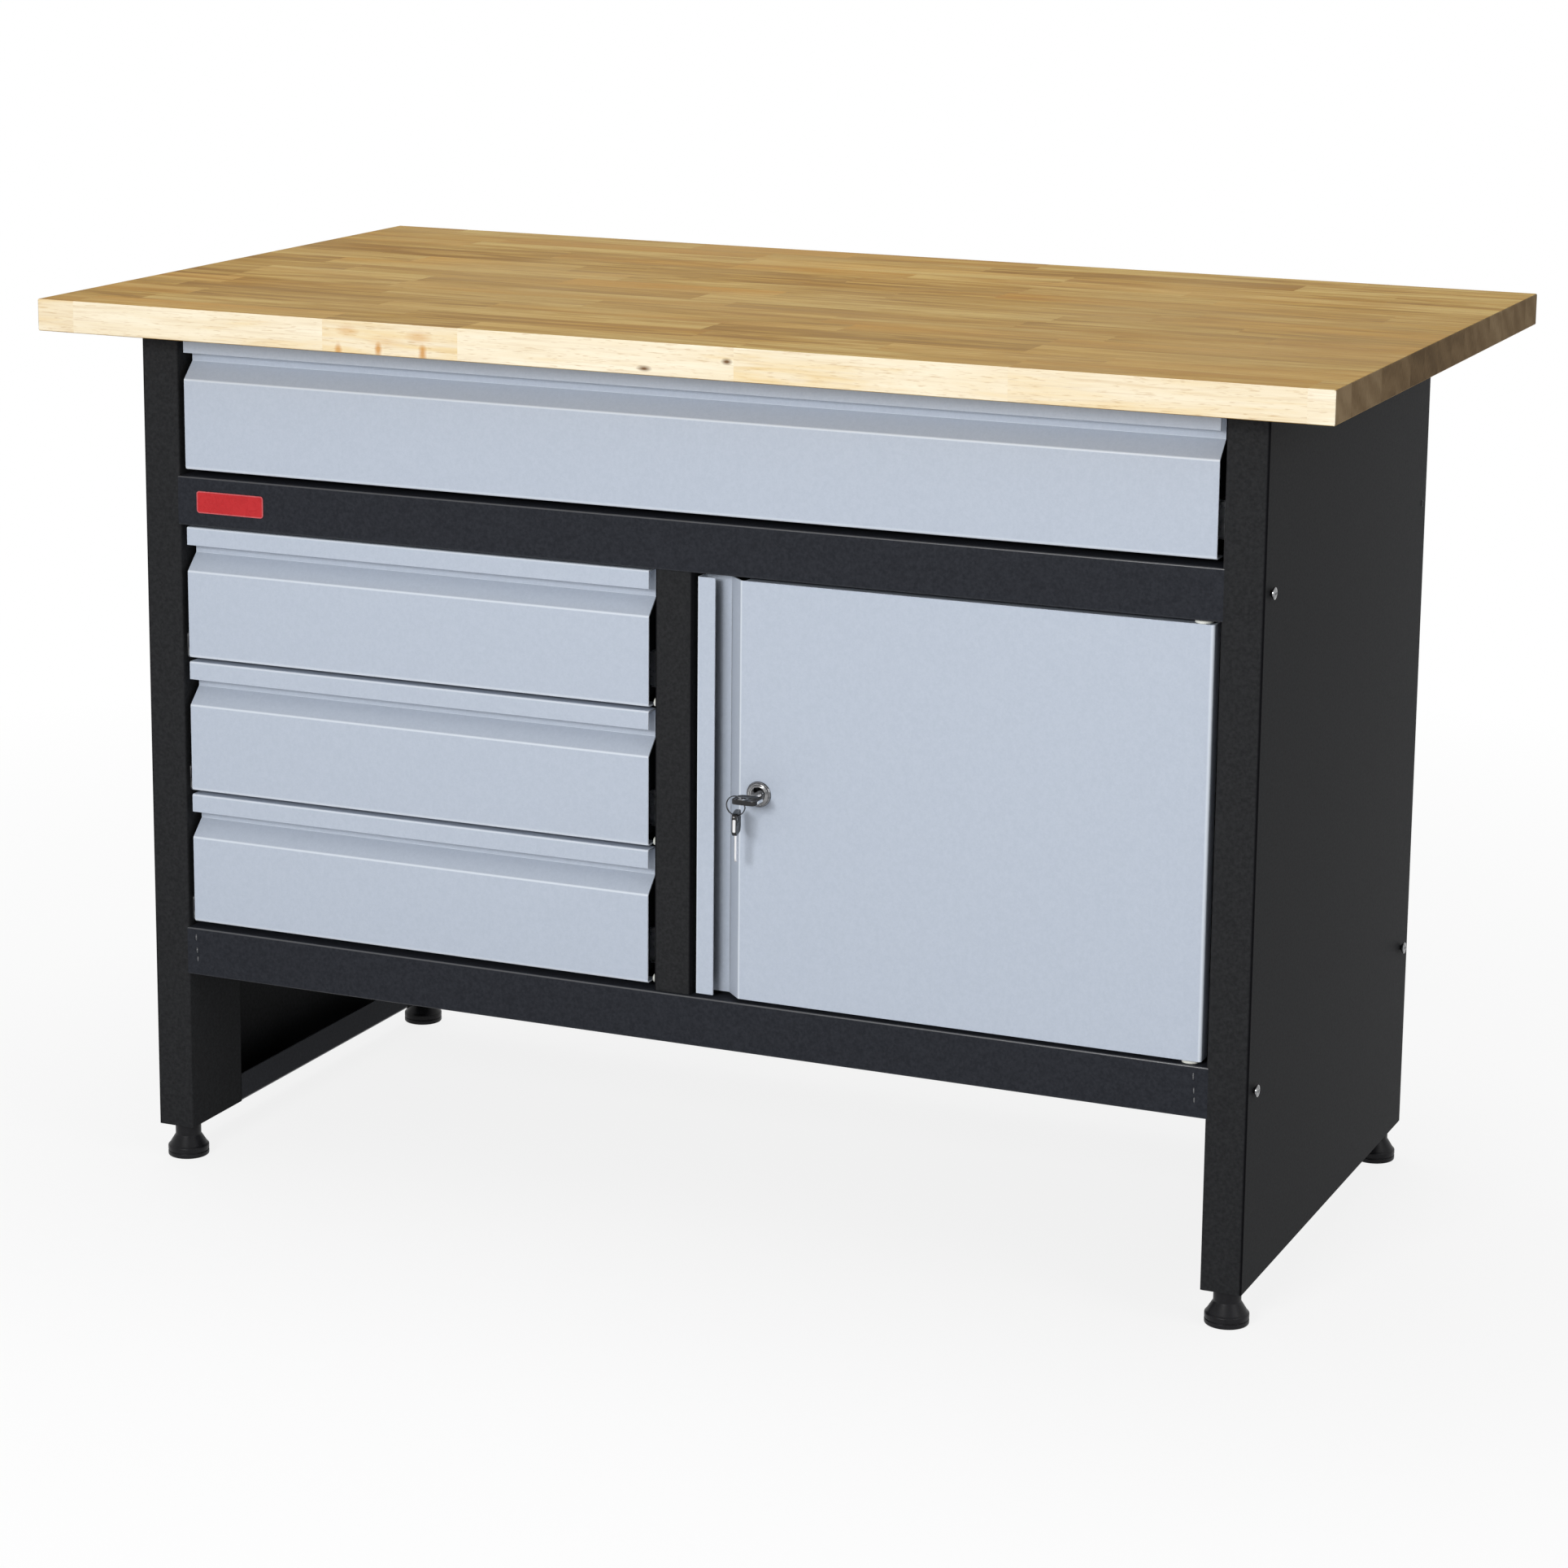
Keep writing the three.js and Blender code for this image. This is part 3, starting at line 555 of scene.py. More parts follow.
def makeWorktop():
    x0, x1, y0, y1, z0, z1 = nodeBox("worktop")
    random = np.random.default_rng(board["seed"])
    joints = [np.array([x0, *board["frontJoints"], x1])]
    joints += [staveJoints(random, x0, x1) for stave in range(1, board["staves"])]
    x = np.unique(np.concatenate(joints))
    y = np.linspace(y0, y1, board["staves"] + 1)
    middle = (x[1:] + x[:-1]) / 2
    labels = 2 * board["most"]  # more than any stave has lengths
    length = [np.searchsorted(line, middle) - 1 + labels * i for i, line in enumerate(joints)]
    length = np.stack(length, 1)  # which length of wood each cell of the plan belongs to
    nx, ny = len(x), len(y)
    plan = np.stack(np.meshgrid(x, y, indexing="ij"), -1).reshape(-1, 2)
    points = np.vstack([alongZ(*plan.T, z) for z in (z1, z0)])
    low = nx * ny
    cells = gridQuads(nx, ny)
    i, j = np.arange(nx - 1), np.arange(ny - 1)
    front = np.stack([i * ny, (i + 1) * ny, (i + 1) * ny + low, i * ny + low], -1)
    left = np.stack([j, j + 1, j + 1 + low, j + low], -1)
    right = left + (nx - 1) * ny
    quads = np.vstack([cells, cells + low, front, front + ny - 1, left, right])
    ends = [length[:, 0], length[:, -1], length[0], length[-1]]
    owner = np.concatenate([length.ravel(), length.ravel(), *ends])
    cut = np.repeat([0, 0, 1, 1, 2, 2], [len(cells), len(cells), nx - 1, nx - 1, ny - 1, ny - 1])
    top = makePiece("worktopBoard", [flatShell(points, quads)], "carcass",
                    [woodFace, woodEdge, woodEnd], ["worktop"], [cut])
    names, owner = np.unique(owner, return_inverse=True)
    tones = random.uniform(*board["tones"], len(names))
    tones[:len(board["frontTones"])] = board["frontTones"]
    shifts = random.uniform(0.0, board["grainShift"], len(names))
    for label, values in (("staveTone", tones), ("staveShift", shifts)):
        store = top.data.attributes.new(label, "FLOAT", "FACE")
        store.data.foreach_set("value", values[owner].astype(np.float32))
    ease = top.modifiers.new("easedEdges", "BEVEL")
    ease.width = board["easing"] * mm
    ease.segments = board["easingSteps"]
    ease.limit_method = "ANGLE"
    ease.angle_limit = math.radians(board["easedFrom"])
    ease.use_clamp_overlap = False
    print("worktop:", board["staves"], "staves,", len(names), "lengths of wood")


makeWorktop()


# the steel carcass: sides, rails, back and post, folded from sheet

carcass = {
    "sheet": 1.5, "bend": 2.4, "legReturn": 92.0, "footPlate": (44.0, 0.1, 3.0),  # depth, bottom and top
    # the sill takes the black paint's painted highlight over its bends and, by this share, over its cut edges
    "sill": 28.0, "sillPaintedHighlight": 0.8,
    "sidePaintedShade": (0.0, 1.0, 1.0, 0.0),  # painted shade: dark lines on a side's outer corners only
    "railBend": 1.7, "railPaintedHighlight": (0.15, 1.0),  # painted highlight, with more gloss, along a rail's upper bend, and little along its lower bend
    "railLap": 2.0,  # how far a rail runs into the leg's bend
    "panelFlange": 12.0, "strike": 19.0,
}


# a side is one skin folded round both legs, a sill between them and a plate over each foot
def makeSide(name, node, outward):
    x0, x1, y0, y1, z0, z1 = nodeBox(node)
    inner, outer = (x0, x1) if outward > 0 else (x1, x0)
    sheet, bend, turn = carcass["sheet"], carcass["bend"], carcass["legReturn"]
    skin = [(inner, y0 + turn), (inner, y0), (outer, y0), (outer, y1), (inner, y1), (inner, y1 - turn)]
    half = outward * sheet / 2
    sill = [(inner, z0 + carcass["sill"]), (inner, z0), (outer - half, z0)]
    ends = (y0 + turn - sheet / 2, y1 - turn + sheet / 2)
    shells = [
        foldedShell(skin, outward * sheet, bend, (z0, z1), alongZ, paintedBendShare=carcass["sidePaintedShade"]),
        foldedShell(sill, outward * sheet, bend, ends, alongY, carcass["sillPaintedHighlight"]),
    ]
    depth, bottom, top = carcass["footPlate"]
    a, b = sorted((inner + half, outer - half))
    for front, back in ((y0 + sheet / 2, y0 + depth), (y1 - depth, y1 - sheet / 2)):
        shells.append(blockShell(a, b, front, back, z0 + bottom, z0 + top))
    makePiece(name, shells, "carcass", [blackSkin, black], [node], [0, 1, 0, 0])


# a rail is a channel whose web faces out at the front or the back
def makeRail(name, node, webAtFront):
    x0, x1, y0, y1, z0, z1 = nodeBox(node)
    web, edge = (y0, y1) if webAtFront else (y1, y0)
    corners = [(edge, z0), (web, z0), (web, z1), (edge, z1)]
    side = -carcass["sheet"] if webAtFront else carcass["sheet"]
    ends = (x0 - carcass["railLap"], x1 + carcass["railLap"])
    shell = foldedShell(corners, side, carcass["railBend"], ends, alongX, paintedBendShare=carcass["railPaintedHighlight"])
    makePiece(name, [shell], "carcass", [black], [node])


# the back is a shallow pan, open to the front, so that no light shows round it
def makeBackPanel(name, node):
    x0, x1, y0, y1, z0, z1 = nodeBox(node)
    sheet, lip = carcass["sheet"], y1 - carcass["panelFlange"]
    corners = [(lip, z0), (y1, z0), (y1, z1), (lip, z1)]
    shells = [foldedShell(corners, sheet, sheet, (x0, x1), alongX)]
    for edge in (x0, x1 - sheet):
        shells.append(blockShell(edge, edge + sheet, lip, y1 - sheet / 2, z0 + sheet, z1 - sheet))
    makePiece(name, shells, "carcass", [blackSkin], [node])


# the post is a hat section whose right flange is the lock's strike
def makePost(name, node):
    x0, x1, y0, y1, z0, z1 = nodeBox(node)
    back, turn = y1 - carcass["sheet"], x1 - carcass["strike"]
    corners = [(x0, y1), (x0, y0), (turn, y0), (turn, back), (x1, back)]
    shell = foldedShell(corners, carcass["sheet"], carcass["bend"], (z0, z1), alongZ)
    makePiece(name, [shell], "carcass", [blackSkin], [node])


makeSide("leftSide", "left_side_frame", -1)
makeSide("rightSide", "right_side_frame", 1)
makeRail("lowerFrontRail", "lower_rail", True)
makeRail("middleFrontRail", "middle_rail", True)
makeRail("lowerRearRail", "rear_lower_rail", False)
makeRail("upperRearRail", "rear_top_rail", False)
makeBackPanel("backPanel", "back_panel")
makePost("centrePost", "centre_post")
print("carcass: sides, rails, back and post")


# the sides' screws, the black plug in the spare hole, and the weld beads on the lower rail

screw = {
    "neck": 2.4, "cone": (0.6, 2.8), "radius": 5.5, "rim": 3.9, "rise": 0.9,  # heights off the side
    "slot": 0.9, "reach": 3.2, "depth": 1.2, "wall": 0.4, "ease": 0.4, "rings": 28, "sides": 72,
}
screwPlaces = ((16.5, 184.0), (16.5, 625.5), (501.0, 184.5))  # from the side's front edge and its foot
plug = {
    "place": (513.0, 623.0), "radius": 3.4, "rise": 0.7, "ease": 0.4, "sides": 40,
    "dish": ((0, 0.25), (0.5, 0.25), (0.8, 1), (1, 0), (0, -1)),  # in shares of the radius and the rise
}


# a head on a cone: its face rises by the root of 1 - (r/R)^4, less a cross where the nearer arm is closer
# than the slot
def screwShells(x, y, z, outward):
    reach = np.sin(np.linspace(0, math.pi / 2, screw["rings"]))
    turn = np.linspace(0, 2 * math.pi, screw["sides"], endpoint=False)[:, None]
    a, b = screw["radius"] * reach * np.cos(turn), screw["radius"] * reach * np.sin(turn)
    nearArm = np.clip((screw["slot"] - np.minimum(abs(a), abs(b))) / screw["wall"], 0, 1)
    nearMiddle = np.clip((screw["reach"] - np.hypot(a, b)) / screw["wall"], 0, 1)
    height = screw["rise"] * np.sqrt(1 - reach ** 4) - screw["depth"] * nearArm * nearMiddle
    points = alongX(a + y, b + z, outward * (screw["rim"] + height) + x)
    face = flatShell(points, gridQuads(len(turn), len(reach), wrapRows=True))
    start, end = screw["cone"]
    cone = [(0, 0), (screw["neck"], 0), (screw["neck"], start), (screw["radius"], end)]
    cone.append((screw["radius"], screw["rim"]))
    return face, turnedShell(np.array(cone) * (1, outward), screw["ease"], (x, y, z), alongX, len(turn))


def makeSideFasteners(name, node, outward):
    x0, x1, y0, y1, z0, z1 = nodeBox(node)
    outer = x1 if outward > 0 else x0
    heads = []
    for back, up in screwPlaces:
        heads.extend(screwShells(outer, y0 + back, z0 + up, outward))
    makePiece(name + "Screws", heads, "carcass", [screwSteel])
    back, up = plug["place"]
    dish = np.array(plug["dish"]) * (plug["radius"], outward * plug["rise"])
    cap = turnedShell(dish, plug["ease"], (outer, y0 + back, z0 + up), alongX, plug["sides"])
    makePiece(name + "Plug", [cap], "carcass", [plastic])


# painted highlight: each bead counts as fully bent, so it takes the black paint's lighter bend tone along with the
# real extra gloss
weld = {
    "fromEnd": 10.6, "beads": ((37.6, 6.4), (24.8, 5.6), (16.2, 5.2)),  # height up the rail and length
    "width": 1.7, "rise": 0.8, "lean": 0.07, "rightFrom": 25.0, "paintedBendShare": 1.0,
    "ripple": (0.15, 11.0), "steps": (41, 13),
}


# a bead is half an egg, u along it and v across: rise times the roots of 1 - uu and 1 - vv, with ripples
def weldShell(x, front, z, length):
    u, v = np.meshgrid(*(np.linspace(-1, 1, count) for count in weld["steps"]), indexing="ij")
    narrow = np.sqrt(1 - u ** 2)
    share, waves = weld["ripple"]
    height = weld["rise"] * narrow * np.sqrt(1 - v ** 2) * (1 + share * np.sin(waves * u))
    points = alongY(x + weld["width"] / 2 * v * narrow, z + length / 2 * u, front - height)
    quads = gridQuads(*u.shape)
    return points.reshape(-1, 3), quads, np.full(len(quads), weld["paintedBendShare"])


def makeWelds():
    x0, x1, y0, y1, z0, z1 = nodeBox("lower_rail")
    beads = []
    for up, length in weld["beads"]:
        left = x0 + weld["fromEnd"] - weld["lean"] * up
        right = x1 - weld["fromEnd"] - weld["lean"] * (up - weld["rightFrom"])
        beads.append(weldShell(left, y0, z0 + up, length))
        beads.append(weldShell(right, y0, z0 + up, length))
    makePiece("railWelds", beads, "carcass", [black])


makeSideFasteners("leftSide", "left_side_frame", -1)
makeSideFasteners("rightSide", "right_side_frame", 1)
makeWelds()
print("fasteners:", 2 * len(screwPlaces), "screws, 2 plugs and", 2 * len(weld["beads"]), "weld beads")


# the red plate: enamel in a slightly raised rim

badge = {"corner": 3.0, "rim": 1.0, "ease": 0.3, "sink": 0.15}


def makeBadge():
    x0, x1, y0, y1, z0, z1 = nodeBox("name_plate")
    rim, ease, sink = badge["rim"], badge["ease"], badge["sink"]
    layers = [(0, y1), (0, y0 + ease), (ease, y0), (rim, y0), (rim + sink, y0 + sink)]
    middle = ((x0 + x1) / 2, 0, (z0 + z1) / 2)
    shell = plateShell((x1 - x0) / 2, (z1 - z0) / 2, badge["corner"], layers, middle, alongY)
    rows = len(layers) + 1
    finish = np.repeat(np.arange(rows) < rows - 1, len(shell[1]) // rows)
    makePiece("railPlate", [shell], "carcass", [enamel, enamelRim], ["name_plate"], [finish])


makeBadge()
print("plate: bare red enamel")


# drawer fronts and door: one sheet folded into a hooked lip, a finger recess, a slope and the face

# painted highlight: the cut edges of the fronts and the door take a share of the silver's lighter bend tone
pull = {"lip": 17.3, "opening": 26.0, "slope": 16.0, "sheet": 1.5, "bend": 2.0, "cutEdgeHighlight": 0.7}


# distance from the pulled edge, and depth behind the face
def pullCorners(length, depth):
    slopeEnd = pull["lip"] + pull["opening"]
    sheet = pull["sheet"]
    return np.array([
        (pull["lip"], 0), (0, 0), (0, depth), (slopeEnd - pull["slope"], depth),
        (slopeEnd, sheet), (length - sheet, sheet), (length - sheet, depth),
    ])


def makeDrawerFront(name):
    x0, x1, y0, y1, z0, z1 = nodeBox(name + "_front")
    along, depth = pullCorners(z1 - z0, y1 - y0).T
    corners = np.column_stack([y0 + depth, z1 - along])
    shell = foldedShell(corners, -pull["sheet"], pull["bend"], (x0, x1), alongX, pull["cutEdgeHighlight"])
    makePiece(name + "Front", [shell], name, [silver], [name + "_front"])


def makeDoor():
    x0, x1, y0, y1, z0, z1 = nodeBox("door_panel")
    along, depth = pullCorners(x1 - x0, y1 - y0).T
    corners = np.column_stack([x0 + along, y0 + depth])
    sheet, half = pull["sheet"], pull["sheet"] / 2
    shells = [foldedShell(corners, -sheet, pull["bend"], (z0, z1), alongZ, pull["cutEdgeHighlight"])]
    start = x0 + pull["lip"] + pull["opening"] + sheet
    for base in (z0 + half, z1 - half - sheet):  # a flange at the foot and at the head
        shells.append(blockShell(start, x1 - half, y0 + half, y1 - half, base, base + sheet))
    makePiece("doorPanel", shells, "door", [doorSilver], ["door_panel"])


drawers = ("wide_drawer", "upper_drawer", "middle_drawer", "lower_drawer")
for drawer in drawers:
    makeDrawerFront(drawer)
makeDoor()
print("fronts:", len(drawers), "drawers and a door")


# a nylon roller on a steel tab at the front of each small drawer's runners, in the gap beside its front

roller = {
    "radius": 3.8, "width": 2.6, "rise": 3.0, "back": 11.0, "play": 0.2,
    "bore": 1.3, "hub": (0.6, 0.7), "dish": 0.3, "ease": 0.4, "bend": 0.2, "sides": 48,
}
rivet = {"flange": 0.7, "edge": 0.6, "crown": 0.7, "bend": 0.1, "sides": 24}
tab = {"thick": 1.2, "ease": 0.2, "shift": (0.0, 4.0, 8.0), "size": (9.0, 13.0, 4.0)}  # halves and corner


def makeRollers(name):
    x0, x1, y0, y1, z0, z1 = nodeBox(name + "_front")
    leftWall, rightWall = nodeBox(name + "_left_runner")[0], nodeBox(name + "_right_runner")[1]
    y, z, half = y0 + roller["back"], z0 + roller["rise"], roller["width"] / 2
    radius, bore, dish, ease = roller["radius"], roller["bore"], roller["dish"], roller["ease"]
    hub, web = radius * np.array(roller["hub"])
    rim = np.array([
        (bore, -half), (hub, -half), (web, dish - half), (radius - ease, dish - half),
        (radius, dish + ease - half), (radius, half - ease), (radius - ease, half), (bore, half),
    ])
    pin = np.array([
        (0, -half), (bore, -half), (bore, half), (bore + rivet["flange"], half),
        (bore, half + rivet["edge"]), (0, half + rivet["crown"]),
    ])
    thick, tabMiddle = tab["thick"], np.add(tab["shift"], (0, y, z))
    steps = ((0, 0), (0, thick - tab["ease"]), (tab["ease"], thick))
    shells = []
    for wall, inward in ((leftWall, 1), (rightWall, -1)):
        middle = (wall + inward * (thick + half + roller["play"]), y, z)
        layers = [(inset, wall + inward * height) for inset, height in steps]
        shells += [
            turnedShell(rim * (1, inward), roller["bend"], middle, alongX, roller["sides"], closed=True),
            plateShell(*tab["size"], layers, tabMiddle, alongX),
            turnedShell(pin * (1, inward), rivet["bend"], middle, alongX, rivet["sides"]),
        ]
    makePiece(name + "Rollers", shells, "carcass", [nylon, zinc], (), [0, 1, 1] * 2)


for drawer in drawers[1:]:
    makeRollers(drawer)
print("rollers:", 2 * len(drawers[1:]))


# the door's hinge: a nylon washer round each pin, above and below the door

hinge = {"height": 2.9, "play": 0.2, "ease": 0.35, "chamfer": (2.0, 0.8)}


def washerShell(pinRadius, radius, low, high, middle):
    inward, down = hinge["chamfer"]
    bore = pinRadius + hinge["play"]
    profile = [(bore, low), (radius, low), (radius, high - down), (radius - inward, high), (bore, high)]
    return turnedShell(profile, hinge["ease"], middle, closed=True)


def makeHinge():
    x0, x1, y0, y1, z0, z1 = nodeBox("upper_hinge_pin")
    pinRadius, middle = (x1 - x0) / 2, ((x0 + x1) / 2, (y0 + y1) / 2, 0)
    x0, x1, y0, y1, z0, z1 = nodeBox("hinge_washer")
    radius, top = (x1 - x0) / 2, nodeBox("door_panel")[5]
    lower = washerShell(pinRadius, radius, z0, z1, middle)
    makePiece("lowerWasher", [lower], "carcass", [nylon], ["hinge_washer"])
    upper = washerShell(pinRadius, radius, top, top + hinge["height"], middle)
    makePiece("upperWasher", [upper], "door", [nylon])


makeHinge()
print("hinge: two washers")


# the levelling feet: a grooved rim, a rounded shoulder, a cone and a neck round the stud

foot = {
    "rim": 11.5, "shoulder": 1.6, "neckRadius": 12.5, "neckHeight": 13.7, "bore": 5.3,
    "bend": 1.6, "sides": 96, "groove": (4.4, 1.4, 0.9, 0.3),  # its height, width, depth and bevel
}
footCorners = ("front_left", "front_right", "back_left", "back_right")


def makeFoot(corner):
    node = corner + "_foot"
    x0, x1, y0, y1, z0, z1 = nodeBox(node)
    radius, rim, neck = (x1 - x0) / 2, foot["rim"], foot["neckRadius"]
    up, wide, deep, bevel = foot["groove"]
    profile = [
        (0, z0), (radius, z0), (radius, up), (radius - deep, up + bevel), (radius - deep, up + wide - bevel),
        (radius, up + wide), (radius, rim - foot["shoulder"]), (radius - foot["shoulder"], rim),
        (neck, z1 - foot["neckHeight"]), (neck, z1), (foot["bore"], z1), (foot["bore"], rim), (0, rim),
    ]
    shell = turnedShell(profile, foot["bend"], ((x0 + x1) / 2, (y0 + y1) / 2, 0), sides=foot["sides"])
    makePiece(corner + "Foot", [shell], node + "_screw", [plastic], [node])


for corner in footCorners:
    makeFoot(corner)
print("feet:", len(footCorners))


# the lock: a stepped chrome rosette in the door

rosette = {
    "bore": 6.5, "barrel": 9.2, "flange": 2.7, "bend": 0.35, "sides": 96, "sharp": 40,
    "steps": ((0.0, 0.9), (0.5, 0.3), (1.3, 0.3), (1.6, 1.3), (2.1, 1.3), (2.4, 0.0)),  # out and back
    "rim": ((2.2, 0.0), (0.7, 0.9), (0.0, 2.0)),  # in and back
}


def makeRosette():
    x0, x1, y0, y1, z0, z1 = nodeBox("lock_barrel")
    radius, bore, barrel, base = (x1 - x0) / 2, rosette["bore"], rosette["barrel"], y0 + rosette["flange"]
    profile = [
        (bore, y1), *((bore + out, y0 + back) for out, back in rosette["steps"]),
        *((radius - inward, y0 + back) for inward, back in rosette["rim"]),
        (radius, base), (barrel, base), (barrel, y1),
    ]
    middle = ((x0 + x1) / 2, 0, (z0 + z1) / 2)
    shell = turnedShell(profile, rosette["bend"], middle, alongY, rosette["sides"], closed=True)
    makePiece("lockRosette", [shell], "door", [chrome], ["lock_barrel"], sharp=rosette["sharp"])
    return middle


lockMiddle = makeRosette()


# keys: p runs across the bow, q along the blade and t through the thickness; the bow ends where q is 0

keyForm = {
    "bowHalf": 12.0, "bowLength": 21.0, "bowThick": 4.4, "bowSteps": 120,
    "taper": 0.12, "taperFrom": -4.0, "taperPower": 1.4,
    "hole": (-3.8, -15.6, 4.0), "edge": 0.5, "panel": 0.5,
    "rings": (0.0, 0.06, 0.20, 0.26, 0.72, 0.79, 0.95, 1.0),  # shares of the way from the hole's rim
    # core places the bright steel strip on the bow's edges, a stand-in for their highlight
    "core": (-16.0, -4.2, 2.8, 0.25), "stripCorner": 0.8, "stripEase": 0.3, "stripSteps": 5,
    "bladeHalf": 3.8, "bladeThick": 2.6, "bladeRoot": -5.0, "bladeLength": 26.0, "bladeSteps": 90,
    "bladeFlat": (0.8, 0.6), "notch": 1.5, "notchPitch": 4.6, "notchFrom": 2.0, "tip": 4.0,
}


# the bow lies between a round hole, share 0, and a squarish outline, share 1, whose sides follow the
# cube roots of sine and cosine; a shallow panel is pressed into both its faces
def bowShell(place):
    half, length, thick = keyForm["bowHalf"], keyForm["bowLength"], keyForm["bowThick"] / 2
    edge, panel = keyForm["edge"], keyForm["panel"]
    u = np.linspace(0, 2 * math.pi, keyForm["bowSteps"], endpoint=False)[:, None]
    cos, sin = np.cos(u), np.sin(u)
    p = half * np.sign(cos) * np.cbrt(abs(cos))
    q = length / 2 * (np.sign(sin) * np.cbrt(abs(sin)) - 1)
    p = p * (1 - keyForm["taper"] * np.clip(1 - q / keyForm["taperFrom"], 0, 1) ** keyForm["taperPower"])
    holeP, holeQ, holeRadius = keyForm["hole"]
    share, t = np.array(keyForm["rings"]), thick - np.array([edge, 0, 0, panel, panel, 0, 0, edge])
    share, t = np.append(share, share[::-1]), np.append(t, -t[::-1])
    inP, inQ = holeP + holeRadius * cos, holeQ + holeRadius * sin
    points = place(inP + (p - inP) * share, inQ + (q - inQ) * share, t + 0 * u)
    return flatShell(points, gridQuads(len(u), len(share), wrapRows=True, wrapColumns=True))


# the blade is an eight-sided bar whose one edge is cut back by notches, a cosine of the way along it
def bladeShell(place):
    length, half, thick = keyForm["bladeLength"], keyForm["bladeHalf"], keyForm["bladeThick"] / 2
    q = np.linspace(keyForm["bladeRoot"], length, keyForm["bladeSteps"])[:, None]
    wave = 0.5 - 0.5 * np.cos(2 * math.pi * q / keyForm["notchPitch"])
    notch = keyForm["notch"] * wave * (q > keyForm["notchFrom"])
    narrow = np.sqrt(np.clip((length - q) / keyForm["tip"], 0, 1))
    flat, rim = keyForm["bladeFlat"]
    side = np.array([-1, -1, -flat, flat, 1, 1, flat, -flat])
    depth = np.array([-rim, rim, 1, 1, rim, -rim, -1, -1])
    reach = np.where(side > 0, half - notch, half) * narrow
    points = place(side * reach, q + 0 * side, thick * depth * (narrow > 0))
    return flatShell(points, gridQuads(len(q), len(side), wrapColumns=True))


# the key in the lock lies flat, its blade towards +y
def flatKey(p, q, t):
    x0, x1, y0, y1, z0, z1 = nodeBox("key")
    return alongZ(lockMiddle[0] + p, y0 + keyForm["bowLength"] + q, lockMiddle[2] + t)


# the spare key hangs in its ring, blade down, turned a little about the upright
hung = {"drop": 2.5, "turn": math.radians(14.0)}
swing = next(joint for joint in frame["joints"] if joint["name"] == "spare_key_swing")


def hungKey(p, q, t):
    holeP, holeQ, _ = keyForm["hole"]
    hook = np.array(swing["pos_m"]) / mm
    across, down = p - holeP, q - holeQ + hung["drop"]
    x = hook[0] - t * math.cos(hung["turn"]) - across * math.sin(hung["turn"])
    y = hook[1] - t * math.sin(hung["turn"]) + across * math.cos(hung["turn"])
    return alongZ(x, y, hook[2] - down)


splitRing = {"wire": 0.5, "turns": 2.0, "pitch": 0.95, "taper": 0.12, "steps": 220, "sides": 12}


# the split ring is a wire wound twice round: its centre line is a helix, thinned to nothing at both ends
def makeSplitRing():
    x0, x1, y0, y1, z0, z1 = nodeBox("key_ring")
    radius = (x1 - x0) / 2 - (y1 - y0) / 2
    a = np.linspace(0, 2 * math.pi * splitRing["turns"], splitRing["steps"])[:, None]
    b = np.linspace(0, 2 * math.pi, splitRing["sides"], endpoint=False)
    ends = np.minimum(a, a[-1] - a) / splitRing["taper"]
    wire = splitRing["wire"] * np.sqrt(np.clip(ends, 0, 1))
    reach = radius + wire * np.cos(b)
    shift = splitRing["pitch"] * (a / (2 * math.pi) - splitRing["turns"] / 2) + wire * np.sin(b)
    centre = ((x0 + x1) / 2, (y0 + y1) / 2, (z0 + z1) / 2)
    points = alongY(reach * np.cos(a), reach * np.sin(a), shift) + np.array(centre)
    shell = flatShell(points, gridQuads(len(a), len(b), wrapColumns=True))
    makePiece("splitRing", [shell], "ring", [chrome], ["key_ring"])


# a bright steel strip along both long edges of the bow stands in for the highlight there: a painted highlight
def highlightStripShell(place):
    start, end, thick, stand = keyForm["core"]
    reach, ease = keyForm["bowHalf"] + stand, keyForm["stripEase"]
    layers = [(ease, -reach), (0, ease - reach), (0, reach - ease), (ease, reach)]
    plate = ((end - start) / 2, thick / 2, keyForm["stripCorner"])
    points, quads, folds = plateShell(*plate, layers, (0, 0, 0), alongZ, keyForm["stripSteps"])
    q, t, p = points.T
    return place(p, (start + end) / 2 + q, t), quads, folds


def makeKey(name, node, body, place):
    shells = [bowShell(place), bladeShell(place), highlightStripShell(place)]
    makePiece(name, shells, body, [keyPlastic, keySteel], [node], [0, 1, 1])


makeKey("lockKey", "key", "lock_core", flatKey)
makeKey("spareKey", "spare_key", "hanging_key", hungKey)
makeSplitRing()
print("lock: rosette, two keys and a split ring")


# the stage: a white floor that keeps a soft shadow, a white world and three soft lamps

sky = {"ambient": 0.34}
ground = {
    "radius": 6.0, "rings": 12, "sides": 64, "drop": 0.0004, "tone": 0.80, "rough": 0.9,
    "white": (0.9, 2.2, 0.84, 1.0),  # near and far in metres, and how white it looks at each
}
lamps = {
    "keyLamp": {"place": (-0.1, -4.2, 1.82), "aim": (0.1, 0.0, 0.45), "size": (1.3, 0.9), "power": 101.0},
    "sideLamp": {"place": (3.6, -1.1, 1.9), "aim": (0.2, 0.0, 0.6), "size": (1.8, 1.8), "power": 31.0},
    "topLamp": {"place": (-0.3, 0.5, 3.4), "aim": (0.0, 0.0, 0.6), "size": (2.4, 1.6), "power": 57.0},
}


# 1 for what the camera sees, straight or in metal and glass, and 0 for light that falls on the object
def seenRay(tree):
    path = add(tree, "LightPath").outputs
    seen = mathNode(tree, "MAXIMUM", path["Is Camera Ray"], path["Is Glossy Ray"])
    return mathNode(tree, "MAXIMUM", seen, path["Is Transmission Ray"])


